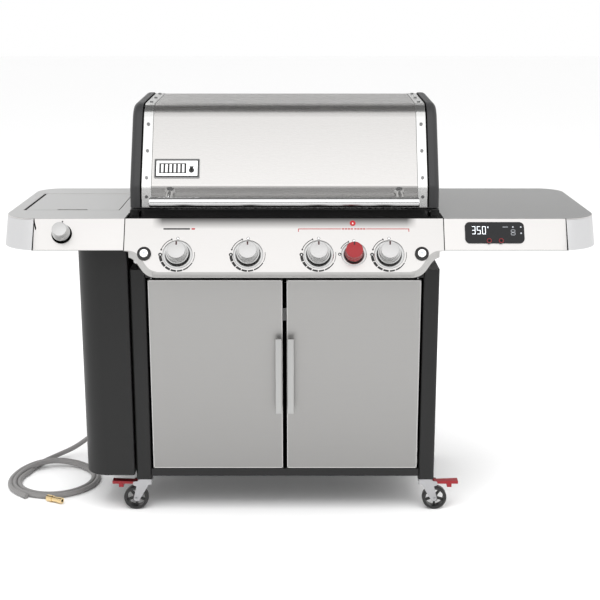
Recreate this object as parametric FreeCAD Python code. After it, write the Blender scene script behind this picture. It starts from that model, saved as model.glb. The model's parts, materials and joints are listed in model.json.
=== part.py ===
"""Gas barbecue grill on a closed cart, in millimetres. +X is right, +Y is back, +Z is up, the floor is Z = 0."""
import FreeCAD, Part
import math
import os

V = FreeCAD.Vector

# ---- Driving dimensions -------------------------------------------------------------------------
# Tables and panel
left_table_width = 362.0
panel_width = 926.0
right_table_width = 454.0
table_depth = 567.0
table_height = 930.0
front_setback = 245.4          # front top edge of the tables, ahead of the origin
table_sheet = 3.0
fascia_slope = 31.0            # fascia and panel lean, degrees from upright
fascia_height = 84.5           # drop of the table skirt
front_corner = 104.0           # plan radius at the top of a table's front corner
rear_corner = 75.0
corner_spread = 22.0           # the corner radius grows by this towards the skirt's lower edge
side_lean = 5.0                # the table's ends lean out by this
cap_width = 98.0               # end casting, measured along the front edge
# Control panel
panel_slant = 163.5            # along the slope, from the top edge to the lower edge
panel_band = 17.0              # upright band below the slope
panel_wall = 2.5
panel_shoulder = 100.0         # slope distance at which the S-shaped lower corners start
panel_corner_run = 97.0        # length of an S-shaped lower corner along X
panel_step = 14.0              # the band starts this far in from the panel's ends
# Cart
leg_width = 48.0
leg_depth = 60.0
leg_wall = 2.5
leg_setback = 18.0             # front of the legs behind the tables' front edge
cart_width = 920.0
cart_depth = 492.0
caster_height = 108.0          # floor to the underside of the legs
rail_height = 24.0
rail_rise = 12.0               # underside of the lower rails above the legs' underside
rail_depth = 24.0
sheet = 2.0
door_thickness = 20.0
door_side_gap = 6.0
door_middle_gap = 12.0
door_bottom_gap = 2.0
door_top_gap = 7.0
door_wall = 1.5
door_handle_width = 20.0
door_handle_length = 234.0
door_handle_proud = 30.0
door_handle_inset = 2.0        # from the door's free edge to the bar's near edge
door_handle_drop = 174.0       # from the door's top edge to the bar's top
# Tank screen and drip pan runners
screen_width = 154.0
screen_recess = 3.0            # between the screen and the cart's side
screen_depth = 375.0
screen_corner = 70.0
screen_drop = 18.0             # lower edge above the legs' underside
runner_half = 190.0            # drip pan's runners, either side of the middle
# Cookbox and lid
burner_count = 4
rack_depth = 190.0
rack_pin_radius = 3.0
cookbox_width = 872.0
cookbox_front = 96.0           # behind the tables' front edge
cookbox_depth = 444.0
cookbox_wall = 5.0
cookbox_rise = 12.0            # rim above the tables
rim_width = 8.0
rim_reach = 26.0               # the rim's sides run out under the lid's end caps
lid_gap = 4.0                  # lid's lower edge above the rim
lid_width = 922.0
lid_cap_thickness = 31.0
lid_cap_gap = 5.0
lid_front = 93.0               # lid's lower front edge behind the tables' front edge
lid_depth = 497.0
lid_height = 304.0
lid_kink_rise = 63.5           # upright lower facet of the lid
lid_brow_drop = 12.0           # front brow below the crown
lid_brow_back = 136.0          # brow behind the lid's front edge
lid_sheet = 2.0
brow_radius = 72.0
trim_width = 28.0
trim_sheet = 1.5
handle_radius = 15.0
handle_length = 790.0
handle_reach = 66.0            # handle's axis ahead of the lid's lower front edge
post_spacing = 682.0
post_radius = 11.0
post_lift = 16.5                # the posts rise by this from the bar to the lid
foot_radius = 17.0
handle_rise = 27.5             # handle's axis above the lid's lower edge
hinge_radius = 5.0
hinge_clearance = 0.08
# Controls
knob_radius = 26.0
knob_length = 31.0
knob_skirt = 7.0               # the knob's foot stands out this far past its face
knob_lift = 9.0                # knob's foot above the panel
side_knob_radius = 21.5
side_knob_skirt = 4.5
sear_knob_radius = 24.5
sear_knob_skirt = 1.5
bezel_inset = 2.0              # bezel's edge inside the knob's foot
bezel_height = 5.0
stem_radius = 4.0
running_gap = 0.06
knob_travel = 3.0
knob_spacing = 203.5
knob_slant = 109.0             # knob axes below the panel's top edge, along the slope
side_knob_slant = 46.5
side_knob_inset = 181.0        # side burner's knob from the control panel's end
button_insets = (59.8, 66.0)   # the two buttons from the panel's ends
button_radius = 11.75
button_ring = 20.0
button_travel = 3.0
# Side burner
burner_lid_width = 280.0
burner_lid_depth = 301.0
burner_lid_setback = 146.0
burner_lid_margin = 43.0       # from the table's outer end
burner_slot = 9.0
well_depth = 62.0
# Display
display_width = 171.6
display_height = 64.7
display_slant = 11.8
display_margin = 60.8          # from the panel's right end to the display
# Casters
wheel_diameter = 76.0
wheel_width = 24.0
axle_radius = 4.0
caster_trail = 30.0
caster_pin_radius = 6.0
lever_length = 72.0
lever_pivot_rise = 13.0        # above the wheel's top
# Gas pipe and hose
manifold_radius = 8.0
branch_radius = 7.0            # pipe from the manifold to the hose
elbow_swell = 1.5              # an elbow's radius beyond its pipe's
hose_diameter = 16.0
coil_centre = (-807.0, 9.0)
coil_outer = 159.0
coil_inner = 98.0
coil_height = 34.0
hose_route = [                  # centre line of the free stretch, from the inlet to the coil
    (-528.0, 189.0, 700.0),
    (-528.0, 189.0, 600.0),
    (-536.0, 204.0, 480.0),
    (-554.0, 217.0, 350.0),
    (-590.0, 221.0, 230.0),
    (-652.0, 219.0, 138.0),
    (-732.0, 224.0, 74.0),
    (-786.0, 232.0, 33.0),
    (-835.0, 217.0, 15.0),
    (-870.0, 182.0, 10.0),
    (-890.0, 140.0, 9.0),
]

# ---- Places worked out from the driving dimensions ----------------------------------------------
overall_width = left_table_width + panel_width + right_table_width
left_end = -overall_width / 2
right_end = overall_width / 2
panel_left = left_end + left_table_width
panel_right = right_end - right_table_width
body_x = (panel_left + panel_right) / 2
lean = math.radians(fascia_slope)
panel_drop = panel_slant * math.cos(lean) + panel_band
frame_top = table_height - panel_drop
front_y = -front_setback
leg_front = front_y + leg_setback
leg_back = leg_front + cart_depth
cart_left = body_x - cart_width / 2
cart_right = body_x + cart_width / 2
shelf_bottom = caster_height + rail_rise
shelf_top = shelf_bottom + rail_height
box_front = front_y + cookbox_front
box_back = box_front + cookbox_depth
box_left = body_x - cookbox_width / 2
box_right = body_x + cookbox_width / 2
box_top = table_height + cookbox_rise
lid_bottom = box_top + lid_gap
lid_y = front_y + lid_front
lid_back = lid_y + lid_depth
lid_top = lid_bottom + lid_height
hinge_y = lid_back - 28.0
hinge_z = lid_bottom + 16.0
skin_half = lid_width / 2 - lid_cap_thickness - lid_cap_gap
wheel_radius = wheel_diameter / 2


# ---- Shape helpers ------------------------------------------------------------------------------
def block(x0, x1, y0, y1, z0, z1):
    return Part.makeBox(x1 - x0, y1 - y0, z1 - z0, V(x0, y0, z0))


def rod(start, direction, radius, length):
    return Part.makeCylinder(radius, length, V(*start), V(*direction))


def fuse(shapes):
    shapes = list(shapes)
    return shapes[0].multiFuse(shapes[1:]).removeSplitter() if len(shapes) > 1 else shapes[0]


def group(shapes):
    return Part.makeCompound(list(shapes))


def round_outline(points, radii):
    """Closed wire through 3-D points in one plane, with an arc of the given radius at each corner."""
    count = len(points)
    corners = [V(*p) for p in points]
    edges, first, last = [], None, None
    for i in range(count):
        here, before, after = corners[i], corners[i - 1], corners[(i + 1) % count]
        a, b = (before - here).normalize(), (after - here).normalize()
        if radii[i] > 0:
            half = a.getAngle(b) / 2
            cut = radii[i] / math.tan(half)
            start, end = here + a * cut, here + b * cut
            middle = here + (a + b).normalize() * (radii[i] / math.sin(half) - radii[i])
        else:
            start = end = here
        if last is not None and last.distanceToPoint(start) > 1e-6:
            edges.append(Part.LineSegment(last, start).toShape())
        if radii[i] > 0:
            edges.append(Part.Arc(start, middle, end).toShape())
        first = start if first is None else first
        last = end
    if last.distanceToPoint(first) > 1e-6:
        edges.append(Part.LineSegment(last, first).toShape())
    return Part.Wire(edges)


def prism(points, radii, direction):
    return Part.Face(round_outline(points, radii)).extrude(V(*direction))


def rounded_block(x0, x1, y0, y1, z0, z1, radius):
    """Block with its four upright edges rounded."""
    points = [(x0, y0, z0), (x1, y0, z0), (x1, y1, z0), (x0, y1, z0)]
    return prism(points, [radius] * 4, (0, 0, z1 - z0))


def on_fascia(shape, x, slant, lift=0.0):
    """Move a shape modelled about the origin with +Z outwards on to the sloping face."""
    shape = shape.copy()
    shape.rotate(V(0, 0, 0), V(1, 0, 0), 90.0 - fascia_slope)
    shape.translate(fascia_point(x, slant, lift))
    return shape


def fascia_point(x, slant, lift=0.0):
    y = front_y - slant * math.sin(lean) - lift * math.cos(lean)
    z = table_height - slant * math.cos(lean) + lift * math.sin(lean)
    return V(x, y, z)


def pipe(points, radius):
    """Pipe along straight runs with swollen round elbows."""
    pieces = []
    for a, b in zip(points, points[1:]):
        step = V(*b) - V(*a)
        pieces.append(Part.makeCylinder(radius, step.Length, V(*a), step))
    pieces += [Part.makeSphere(radius + elbow_swell, V(*p)) for p in points[1:-1]]
    return fuse(pieces)


def round_edges(shape, radius, keep):
    """Fillet the edges for which keep(edge) is true."""
    return shape.makeFillet(radius, [edge for edge in shape.Edges if keep(edge)])


# ---- Cart ---------------------------------------------------------------------------------------
def leg_corners():
    """Lower left corner of each leg in plan, and its name."""
    for side, x in (("left", cart_left), ("right", cart_right - leg_width)):
        for end, y in (("front", leg_front), ("rear", leg_back - leg_depth)):
            yield side, end, x, y


def frame_legs():
    legs = []
    for side, end, x, y in leg_corners():
        tube = rounded_block(x, x + leg_width, y, y + leg_depth, caster_height, frame_top, 8.0)
        hollow = rounded_block(x + leg_wall, x + leg_width - leg_wall, y + leg_wall, y + leg_depth - leg_wall,
                               caster_height + 4.0, frame_top - leg_wall, 8.0 - leg_wall)
        hole = rod((x + leg_width / 2, y + leg_depth / 2, caster_height - 1.0), (0, 0, 1),
                   caster_pin_radius + running_gap, 6.0)
        legs.append(tube.cut(fuse([hollow, hole])))
    return group(legs)


def door_pin_places():
    """Plan position of the door pins, left then right."""
    inner_left, inner_right = cart_left + leg_width, cart_right - leg_width
    y = leg_front + door_thickness / 2
    inset = door_side_gap + door_thickness / 2
    return [(inner_left + inset, y), (inner_right - inset, y)]


def door_span():
    return shelf_top + door_bottom_gap, frame_top - rail_height - door_top_gap


runner_z = frame_top - 150.0


def frame_rails():
    rails = []
    inner_left, inner_right = cart_left + leg_width, cart_right - leg_width
    for low, high in ((shelf_bottom, shelf_top), (frame_top - rail_height, frame_top)):
        for y in (leg_front, leg_back - rail_depth):
            rails.append(block(inner_left, inner_right, y, y + rail_depth, low, high))
        for x in (cart_left + sheet, cart_right - sheet - rail_depth):
            rails.append(block(x, x + rail_depth, leg_front + leg_depth, leg_back - leg_depth, low, high))
    holes = [rod((x, y, low - 1.0), (0, 0, 1), 3.0, rail_height + 2.0)
             for x, y in door_pin_places() for low in (shelf_bottom, frame_top - rail_height)]
    rails = [rail.cut(group(holes)) for rail in rails]
    rail_back, rear_face = leg_front + rail_depth, leg_back - rail_depth
    for side in (-1, 1):
        edge, web, inner = (body_x + side * x for x in (runner_half, runner_half - sheet, runner_half - 12.0))
        flange = block(min(edge, inner), max(edge, inner), rail_back, rear_face, runner_z, runner_z + 4.0)
        upright = block(min(edge, web), max(edge, web), rail_back, rear_face, runner_z,
                        frame_top - rail_height + 8.0)
        rails.append(fuse([flange, upright]))
    return group(rails)


def bottom_shelf():
    plate = block(cart_left + leg_width, cart_right - leg_width, leg_front + rail_depth, leg_back - rail_depth,
                  shelf_top - 6.0, shelf_top - 4.0)
    return plate


def cabinet_panels():
    front, back = leg_front + leg_depth, leg_back - leg_depth
    sides = [block(x, x + sheet, front, back, shelf_bottom, frame_top)
             for x in (cart_left, cart_right - sheet)]
    rear = block(cart_left + leg_width, cart_right - leg_width, leg_back - rail_depth, leg_back - rail_depth + sheet,
                 shelf_top, frame_top - rail_height)
    return group(sides + [rear])




def tank_screen():
    low, high = caster_height + screen_drop, table_height - fascia_height - 8.0
    outer_left = cart_left - screen_recess - screen_width
    front = leg_front - 10.0
    wall = 2.5
    outer = [(outer_left, front, low), (cart_left - screen_recess, front, low),
             (cart_left - screen_recess, front + screen_depth, low), (outer_left, front + screen_depth, low)]
    body = prism(outer, [screen_corner, 5.0, 0, 25.0], (0, 0, high - low))
    inner = [(outer_left + wall, front + wall, low - 1), (cart_left - screen_recess - wall, front + wall, low - 1),
             (cart_left - screen_recess - wall, front + screen_depth - wall, low - 1),
             (outer_left + wall, front + screen_depth - wall, low - 1)]
    body = body.cut(prism(inner, [screen_corner - wall, 5.0 - wall, 0, 25.0 - wall], (0, 0, high - low + 2)))
    window = block(cart_left - screen_recess - wall - 1, cart_left - screen_recess + 1,
                   front + 40.0, front + screen_depth - 40.0, low + 30.0, high - 30.0)
    tabs = [block(cart_left - screen_recess, cart_left, y, y + 3.0, low + 20.0, frame_top - 5.0)
            for y in (front + 34.0, front + screen_depth - 34.0)]
    return fuse([body.cut(window)] + tabs)


# ---- Cookbox and what it holds ------------------------------------------------------------------
grate_top = box_top - 22.0
ledge_z = grate_top - 14.0
burner_z = frame_top + 55.0
plate_z = burner_z + 38.0
rack_z = lid_bottom + 66.0
rack_width = cookbox_width - 70.0
rack_y = box_back - cookbox_wall - 22.0


def burner_x(i):
    pitch = (cookbox_width - 2 * cookbox_wall) / burner_count
    return box_left + cookbox_wall + pitch * (i + 0.5)


def cookbox():
    wall = cookbox_wall
    shell = rounded_block(box_left, box_right, box_front, box_back, frame_top, box_top - 4.0, 22.0)
    rim = rounded_block(box_left - rim_reach, box_right + rim_reach, box_front - rim_width, box_back, box_top - 4.0,
                        box_top, 26.0)
    hollow = rounded_block(box_left + wall, box_right - wall, box_front + wall, box_back - wall,
                           frame_top + wall, box_top + 1.0, 22.0 - wall)
    drain = block(body_x - 190.0, body_x + 190.0, box_front + 70.0, box_back - 70.0, frame_top - 1.0,
                  frame_top + wall + 1.0)
    ports = [rod((burner_x(i), box_front - 1.0, burner_z), (0, 1, 0), 12.5, wall + 2.0)
             for i in range(burner_count)]
    ledge = block(panel_left + 6.0, panel_right - 6.0, front_y, box_front + 1.0, table_height - 16.0,
                  table_height - 12.0)
    shelves = [block(box_left + wall - 1.0, box_right - wall + 1.0, y, y + 14.0, ledge_z - 4.0, ledge_z)
               for y in (box_front + wall - 1.0, box_back - wall - 13.0)]
    plate_shelves = [block(box_left + wall - 1.0, box_right - wall + 1.0, y, y + 10.0, plate_z - 3.0, plate_z)
                     for y in (box_front + wall - 1.0, box_back - wall - 9.0)]
    body = fuse([shell, rim]).cut(group([hollow, drain] + ports))
    ears = []
    for side in (-1, 1):
        x = body_x + side * (lid_width / 2 - lid_cap_thickness + 4.0)
        arm = prism([(x, box_back - 2.0, box_top - 40.0), (x, box_back - 2.0, box_top - 6.0),
                     (x, hinge_y - 10.0, hinge_z + 10.0), (x, hinge_y + 10.0, hinge_z + 10.0),
                     (x, hinge_y + 10.0, hinge_z - 10.0)], [0, 0, 4, 9, 9], (-side * 10.0, 0, 0))
        bore = rod((x - 20.0, hinge_y, hinge_z), (1, 0, 0), hinge_radius, 40.0)
        ears.append(arm.cut(bore))
        post_x = body_x + side * (rack_width / 2 + 6.0)
        post = block(post_x - 4.0, post_x + 4.0, rack_y - 8.0, box_back - wall + 1.0, grate_top + 2.0, rack_z + 8.0)
        pin = rod((post_x, rack_y, rack_z), (-side, 0, 0), rack_pin_radius, 18.0)
        ears += [post, pin]
    return fuse([body, ledge] + shelves + plate_shelves + ears)


def burner_tubes():
    tubes = []
    for i in range(burner_count):
        start = (burner_x(i), box_front - 6.0, burner_z)
        length = cookbox_depth - 2.0 * cookbox_wall + 6.0 + cookbox_wall
        tube = rod(start, (0, 1, 0), 12.5, length)
        bore = rod((burner_x(i), box_front - 7.0, burner_z), (0, 1, 0), 11.0, length - 3.0)
        tubes.append(tube.cut(bore))
    return group(tubes)


def heat_plates():
    """Peaked steel bars, one over each burner and one between each pair."""
    plates = []
    y0, y1 = box_front + cookbox_wall + 1.0, box_back - cookbox_wall - 1.0
    pitch = (cookbox_width - 2 * cookbox_wall) / (2 * burner_count + 1)
    for i in range(2 * burner_count):
        x = box_left + cookbox_wall + pitch * (i + 1.0)
        points = [(x - 32.0, y0, plate_z), (x, y0, plate_z + 34.0), (x + 32.0, y0, plate_z),
                  (x + 29.0, y0, plate_z), (x, y0, plate_z + 31.0), (x - 29.0, y0, plate_z)]
        plates.append(prism(points, [0] * 6, (0, y1 - y0, 0)))
    return group(plates)


def cooking_grates():
    """Two cast grates lying side by side on the cookbox ledges."""
    grates = []
    y0, y1 = box_front + cookbox_wall + 2.0, box_back - cookbox_wall - 2.0
    half = (cookbox_width - 2 * cookbox_wall) / 2
    bar, slot = 8.0, 11.0
    for x0 in (box_left + cookbox_wall + 1.0, body_x + 1.0):
        x1 = x0 + half - 2.0
        plate = rounded_block(x0, x1, y0, y1, ledge_z, grate_top, 18.0)
        count = int((x1 - x0 - bar) // (bar + slot))
        pitch = (x1 - x0 - bar) / count
        slots = []
        for i in range(count):
            left = x0 + bar + i * pitch
            for low, high in ((y0 + 12.0, (y0 + y1) / 2 - 5.0), ((y0 + y1) / 2 + 5.0, y1 - 12.0)):
                slots.append(block(left, left + pitch - bar, low, high, ledge_z - 1.0, grate_top + 1.0))
        grates.append(plate.cut(group(slots)))
    return group(grates)


def grease_tray():
    """Funnel tray that hangs below the drain opening."""
    y0, y1 = box_front + 58.0, box_back - 58.0
    top = frame_top
    outer = Part.makeLoft([
        round_outline([(body_x - 205.0, y0, top), (body_x + 205.0, y0, top), (body_x + 205.0, y1, top),
                       (body_x - 205.0, y1, top)], [12.0] * 4),
        round_outline([(body_x - 70.0, y0 + 130.0, top - 60.0), (body_x + 70.0, y0 + 130.0, top - 60.0),
                       (body_x + 70.0, y1 - 130.0, top - 60.0), (body_x - 70.0, y1 - 130.0, top - 60.0)],
                      [12.0] * 4)], True, True)
    inner = Part.makeLoft([
        round_outline([(body_x - 202.0, y0 + 3.0, top + 0.2), (body_x + 202.0, y0 + 3.0, top + 0.2),
                       (body_x + 202.0, y1 - 3.0, top + 0.2), (body_x - 202.0, y1 - 3.0, top + 0.2)], [10.0] * 4),
        round_outline([(body_x - 66.0, y0 + 134.0, top - 60.2), (body_x + 66.0, y0 + 134.0, top - 60.2),
                       (body_x + 66.0, y1 - 134.0, top - 60.2), (body_x - 66.0, y1 - 134.0, top - 60.2)],
                      [10.0] * 4)], True, True)
    return outer.cut(inner)


def drip_pan():
    """Pan that slides forward on the two runners."""
    bottom = frame_top - 146.0 + 0.3
    x0, x1 = body_x - 186.0, body_x + 186.0
    y0, y1 = leg_front + rail_depth + 90.0, leg_back - rail_depth - 20.0
    wall = 1.5
    pan = block(x0 + 12.0, x1 - 12.0, y0, y1, bottom - 40.0, bottom)
    lip = block(x0, x1, y0, y1, bottom, bottom + 2.0)
    hollow = block(x0 + 12.0 + wall, x1 - 12.0 - wall, y0 + wall, y1 - wall, bottom - 40.0 + wall, bottom + 3.0)
    pull = block(body_x - 40.0, body_x + 40.0, y0 - 14.0, y0 + 1.0, bottom, bottom + 2.0)
    return fuse([pan, lip, pull]).cut(hollow)


def warming_rack():
    """Wire shelf that folds up about its rear rod."""
    half = rack_width / 2 - 4.0
    front = rack_y - rack_depth
    rails = [block(body_x - half, body_x + half, y, y + 5.0, rack_z - 2.5, rack_z + 2.5)
             for y in (front, front + 60.0, front + 120.0)]
    count = 32
    pitch = (2 * half - 4.0) / count
    bars = [block(body_x - half + i * pitch, body_x - half + i * pitch + 4.0, front, rack_y - 3.0,
                  rack_z - 2.0, rack_z + 2.0) for i in range(count + 1)]
    sleeve = rod((body_x - half, rack_y, rack_z), (1, 0, 0), 6.5, 2 * half)
    bores = [rod((body_x + side * (half + 1.0), rack_y, rack_z), (-side, 0, 0),
                 rack_pin_radius + hinge_clearance, 24.0) for side in (-1, 1)]
    return fuse(rails + bars + [sleeve]).cut(group(bores))


# ---- Controls -----------------------------------------------------------------------------------
def knob_places():
    """Name, X and slope distance of every knob."""
    first = body_x - 1.5 * knob_spacing - 2.0
    places = [("burner_knob_%d" % (i + 1), first + i * knob_spacing, knob_slant) for i in range(4)]
    places.append(("sear_knob", first + 2.5 * knob_spacing, knob_slant))
    places.append(("side_burner_knob", panel_left - side_knob_inset, side_knob_slant))
    return places


def knob_size(name):
    """Face radius and skirt of a knob."""
    sizes = {"side_burner_knob": (side_knob_radius, side_knob_skirt), "sear_knob": (sear_knob_radius, sear_knob_skirt)}
    return sizes.get(name, (knob_radius, knob_skirt))


def button_places():
    return [("ignition_button", panel_left + button_insets[0]), ("light_button", panel_right - button_insets[1])]


def panel_outline(inset, lift):
    """Panel face on the slope: straight top and ends, S-shaped lower corners."""
    def at(x, slant):
        return fascia_point(x, slant, lift)

    left, right = panel_left + inset, panel_right - inset
    top, shoulder, bottom = inset, panel_shoulder - inset * 0.5, panel_slant - inset
    run = panel_corner_run - inset
    edges = [Part.LineSegment(at(left, shoulder), at(left, top)).toShape(),
             Part.LineSegment(at(left, top), at(right, top)).toShape(),
             Part.LineSegment(at(right, top), at(right, shoulder)).toShape()]
    corner = Part.BezierCurve()
    corner.setPoles([at(right, shoulder), at(right - run * 0.55, shoulder + 1.0),
                     at(right - run * 0.40, bottom - 2.0), at(right - run, bottom)])
    edges.append(corner.toShape())
    edges.append(Part.LineSegment(at(right - run, bottom), at(left + run, bottom)).toShape())
    corner = Part.BezierCurve()
    corner.setPoles([at(left + run, bottom), at(left + run * 0.40, bottom - 2.0),
                     at(left + run * 0.55, shoulder + 1.0), at(left, shoulder)])
    edges.append(corner.toShape())
    return Part.Wire(edges)


def fascia_holes(depth):
    """Cutters for every stem and button that passes through the panel or the left fascia."""
    cutters = []
    for _, x, slant in knob_places():
        cutters.append(on_fascia(rod((0, 0, -depth), (0, 0, 1), stem_radius + 1.5, depth + 5.0), x, slant))
    for _, x in button_places():
        cutters.append(on_fascia(rod((0, 0, -depth), (0, 0, 1), button_radius - 3.0, depth + 5.0), x, knob_slant))
    return group(cutters)


def control_panel():
    outer = Part.Face(panel_outline(0.0, 0.0)).extrude(V(0, 0, -panel_band))
    inner = Part.Face(panel_outline(panel_wall, -panel_wall)).extrude(V(0, 0, -panel_band * 2))
    low, high = table_height - panel_drop - panel_band, table_height - fascia_height
    steps = [block(x, x + panel_step, front_y - panel_slant, front_y, low, high)
             for x in (panel_left, panel_right - panel_step)]
    return outer.cut(inner).cut(group(steps)).cut(fascia_holes(panel_wall * 3))


def bezel_ring(outer_radius, inner_radius, height):
    ring = Part.makeCylinder(outer_radius, height).cut(
        Part.makeCylinder(inner_radius, height + 2.0, V(0, 0, -1.0)))
    edge = [e for e in ring.Edges if abs(e.BoundBox.ZMax - height) < 1e-6 and abs(e.BoundBox.ZMin - height) < 1e-6
            and e.BoundBox.XMax > outer_radius - 0.01]
    return ring.makeChamfer(min(2.5, height * 0.4), edge)


def panel_bezels():
    rings = []
    for name, x, slant in knob_places():
        radius, skirt = knob_size(name)
        rings.append(on_fascia(bezel_ring(radius + skirt - bezel_inset, stem_radius + 1.5, bezel_height), x, slant))
    for _, x in button_places():
        rings.append(on_fascia(bezel_ring(button_ring, button_radius + 0.5, 5.0), x, knob_slant))
    return group(rings)


def stem():
    return Part.makeCylinder(stem_radius, knob_length + 36.0, V(0, 0, -40.0))


def knob(radius, skirt):
    """Round knob that steps in from its foot to a flat face."""
    foot, top = knob_lift, knob_lift + knob_length
    tiers = [Part.makeCylinder(radius + skirt, 4.0, V(0, 0, foot)),
             Part.makeCone(radius + skirt * 0.65, radius + skirt * 0.35, 11.0, V(0, 0, foot + 4.0)),
             Part.makeCylinder(radius, top - foot - 15.0, V(0, 0, foot + 15.0))]
    body = round_edges(fuse(tiers), 1.2, lambda e: e.BoundBox.ZMin > top - 0.01)
    return body.cut(Part.makeCylinder(stem_radius + running_gap, knob_length - 4.0, V(0, 0, foot - 1.0)))


def push_button():
    cap = Part.makeCylinder(button_radius, 6.0, V(0, 0, 0.8 + button_travel))
    cap = round_edges(cap, 1.2, lambda e: e.BoundBox.ZMin > 5.0 + button_travel)
    shank = Part.makeCylinder(button_radius - 4.0, 22.0, V(0, 0, -18.0))
    return fuse([cap, shank])


def gas_manifold():
    """Manifold pipe with a valve behind every stem, and the inlet pipe under the left table."""
    places = knob_places()
    main = fascia_point(0, knob_slant, -60.0)
    side = fascia_point(0, side_knob_slant, -60.0)
    end_x = places[3][1] + 30.0
    turn_x = panel_left + 30.0
    down_x, _, down_z = hose_route[0]
    down_y = hose_route[0][1]
    pieces = [pipe([(end_x, main.y, main.z), (turn_x, main.y, main.z), (turn_x, main.y, side.z),
                    (turn_x, side.y, side.z), (places[5][1] - 14.0, side.y, side.z)], manifold_radius),
              pipe([(down_x, side.y, side.z), (down_x, down_y, side.z), (down_x, down_y, down_z)], branch_radius),
              rod((down_x, down_y, down_z), (0, 0, 1), 13.0, 24.0)]
    for x in (body_x - knob_spacing, body_x + knob_spacing * 0.75):
        pieces.append(block(x - 2.0, x + 2.0, main.y, box_front, main.z - 6.0, main.z + 6.0))
    for _, x, slant in places:
        valve = Part.makeCylinder(12.0, 38.0, V(0, 0, -53.0))
        bore = Part.makeCylinder(stem_radius + running_gap, 32.0, V(0, 0, -44.0))
        pieces.append(on_fascia(valve.cut(bore), x, slant))
    bores = [on_fascia(Part.makeCylinder(stem_radius + running_gap, 32.0, V(0, 0, -44.0)), x, slant)
             for _, x, slant in places]
    return fuse(pieces).cut(group(bores))


# ---- Side tables --------------------------------------------------------------------------------
def table_loft(side, inset, top, bottom):
    """Solid under a table's plan outline; side is -1 for the left table and 1 for the right one."""
    inner_x = panel_left if side < 0 else panel_right
    outer_x = left_end if side < 0 else right_end

    def wire(z):
        drop = table_height - z
        share = drop / fascia_height
        front = front_y - drop * math.tan(lean) + inset
        back = front_y + table_depth + side_lean * share - inset
        outer = outer_x + side * (side_lean * share - inset)
        points = [(inner_x, front, z), (outer, front, z), (outer, back, z), (inner_x, back, z)]
        radii = [0.0, front_corner + corner_spread * share - inset, rear_corner - inset, 0.0]
        return round_outline(points, radii)

    return Part.makeLoft([wire(bottom), wire(top)], True, True)


def table_skirt(side):
    low = table_height - fascia_height
    outer = table_loft(side, 0.0, table_height, low)
    inner = table_loft(side, table_sheet, table_height - table_sheet, low - 1.0)
    return outer.cut(inner)


def seam_x(side):
    return left_end + cap_width if side < 0 else right_end - cap_width


def outboard_of_seam(side):
    """Block that holds the end casting's share of the skirt, below the top sheet."""
    outer = (left_end if side < 0 else right_end) + side * 40.0
    return block(min(outer, seam_x(side)), max(outer, seam_x(side)), front_y - 80.0,
                 front_y + table_depth + 20.0, table_height - fascia_height - 5.0, table_height - table_sheet)


def burner_opening():
    """Left, right, front and back of the side burner's flush lid."""
    left = left_end + burner_lid_margin
    front = front_y + burner_lid_setback
    return left, left + burner_lid_width, front, front + burner_lid_depth


def table_panel(side):
    panel = table_skirt(side).cut(outboard_of_seam(side))
    if side < 0:
        left, right, front, back = burner_opening()
        panel = panel.cut(block(left - burner_slot, right + 2.0, front - 2.0, back + burner_slot,
                                table_height - 10.0, table_height + 1.0))
        panel = panel.cut(fascia_holes(20.0))
    return panel


def table_end_caps():
    return group([table_skirt(side).common(outboard_of_seam(side)) for side in (-1, 1)])


def table_brackets():
    """Bars that carry each table from the side of the cookbox."""
    bars = []
    top = table_height - table_sheet
    _, _, front, back = burner_opening()
    for side in (-1, 1):
        root = box_left if side < 0 else box_right
        reach = seam_x(side) - side * 10.0
        for y in (front - 26.0, back + 24.0):
            bars.append(block(min(root, reach), max(root, reach), y, y + 6.0, top - 32.0, top))
    return group(bars)


def burner_hinge():
    """Y and Z of the flush lid's hinge line, in the slot behind it."""
    return burner_opening()[3] + 3.0, table_height - 5.0


def side_burner():
    """Well, burner ring and pan support under the flush lid."""
    left, right, front, back = burner_opening()
    top = table_height - table_sheet
    wall = 2.0
    x0, x1, y0, y1 = left - burner_slot - wall, right + 2.0 + wall, front - 2.0 - wall, back + burner_slot + wall
    well = block(x0, x1, y0, y1, top - well_depth, top)
    hollow = block(x0 + wall, x1 - wall, y0 + wall, y1 - wall, top - well_depth + wall, top + 1.0)
    cx, cy = (left + right) / 2, (front + back) / 2
    floor = top - well_depth + wall
    burner = Part.makeCylinder(45.0, 18.0, V(cx, cy, floor)).cut(
        Part.makeCylinder(12.0, 8.0, V(cx, cy, floor + 11.0)))
    support = [block(cx - 105.0, cx + 105.0, cy - 3.0, cy + 3.0, floor + 26.0, floor + 34.0),
               block(cx - 3.0, cx + 3.0, cy - 105.0, cy + 105.0, floor + 26.0, floor + 34.0)]
    feet = [block(cx + dx - 3.0, cx + dx + 3.0, cy + dy - 3.0, cy + dy + 3.0, floor, floor + 30.0)
            for dx, dy in ((102.0, 0), (-102.0, 0), (0, 102.0), (0, -102.0))]
    pins = []
    for side in (-1, 1):
        x = cx + side * (burner_lid_width / 2 - 30.0)
        y, z = burner_hinge()
        pins.append(rod((x - 20.0, y, z), (1, 0, 0), 1.5, 40.0))
        for dx in (-20.0, 17.0):
            pins.append(block(x + dx, x + dx + 3.0, y - 2.5, back + burner_slot + 1.0, z - 2.5, top))
    return group([fuse([well.cut(hollow)] + pins), fuse([burner]), fuse(support + feet)])


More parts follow.
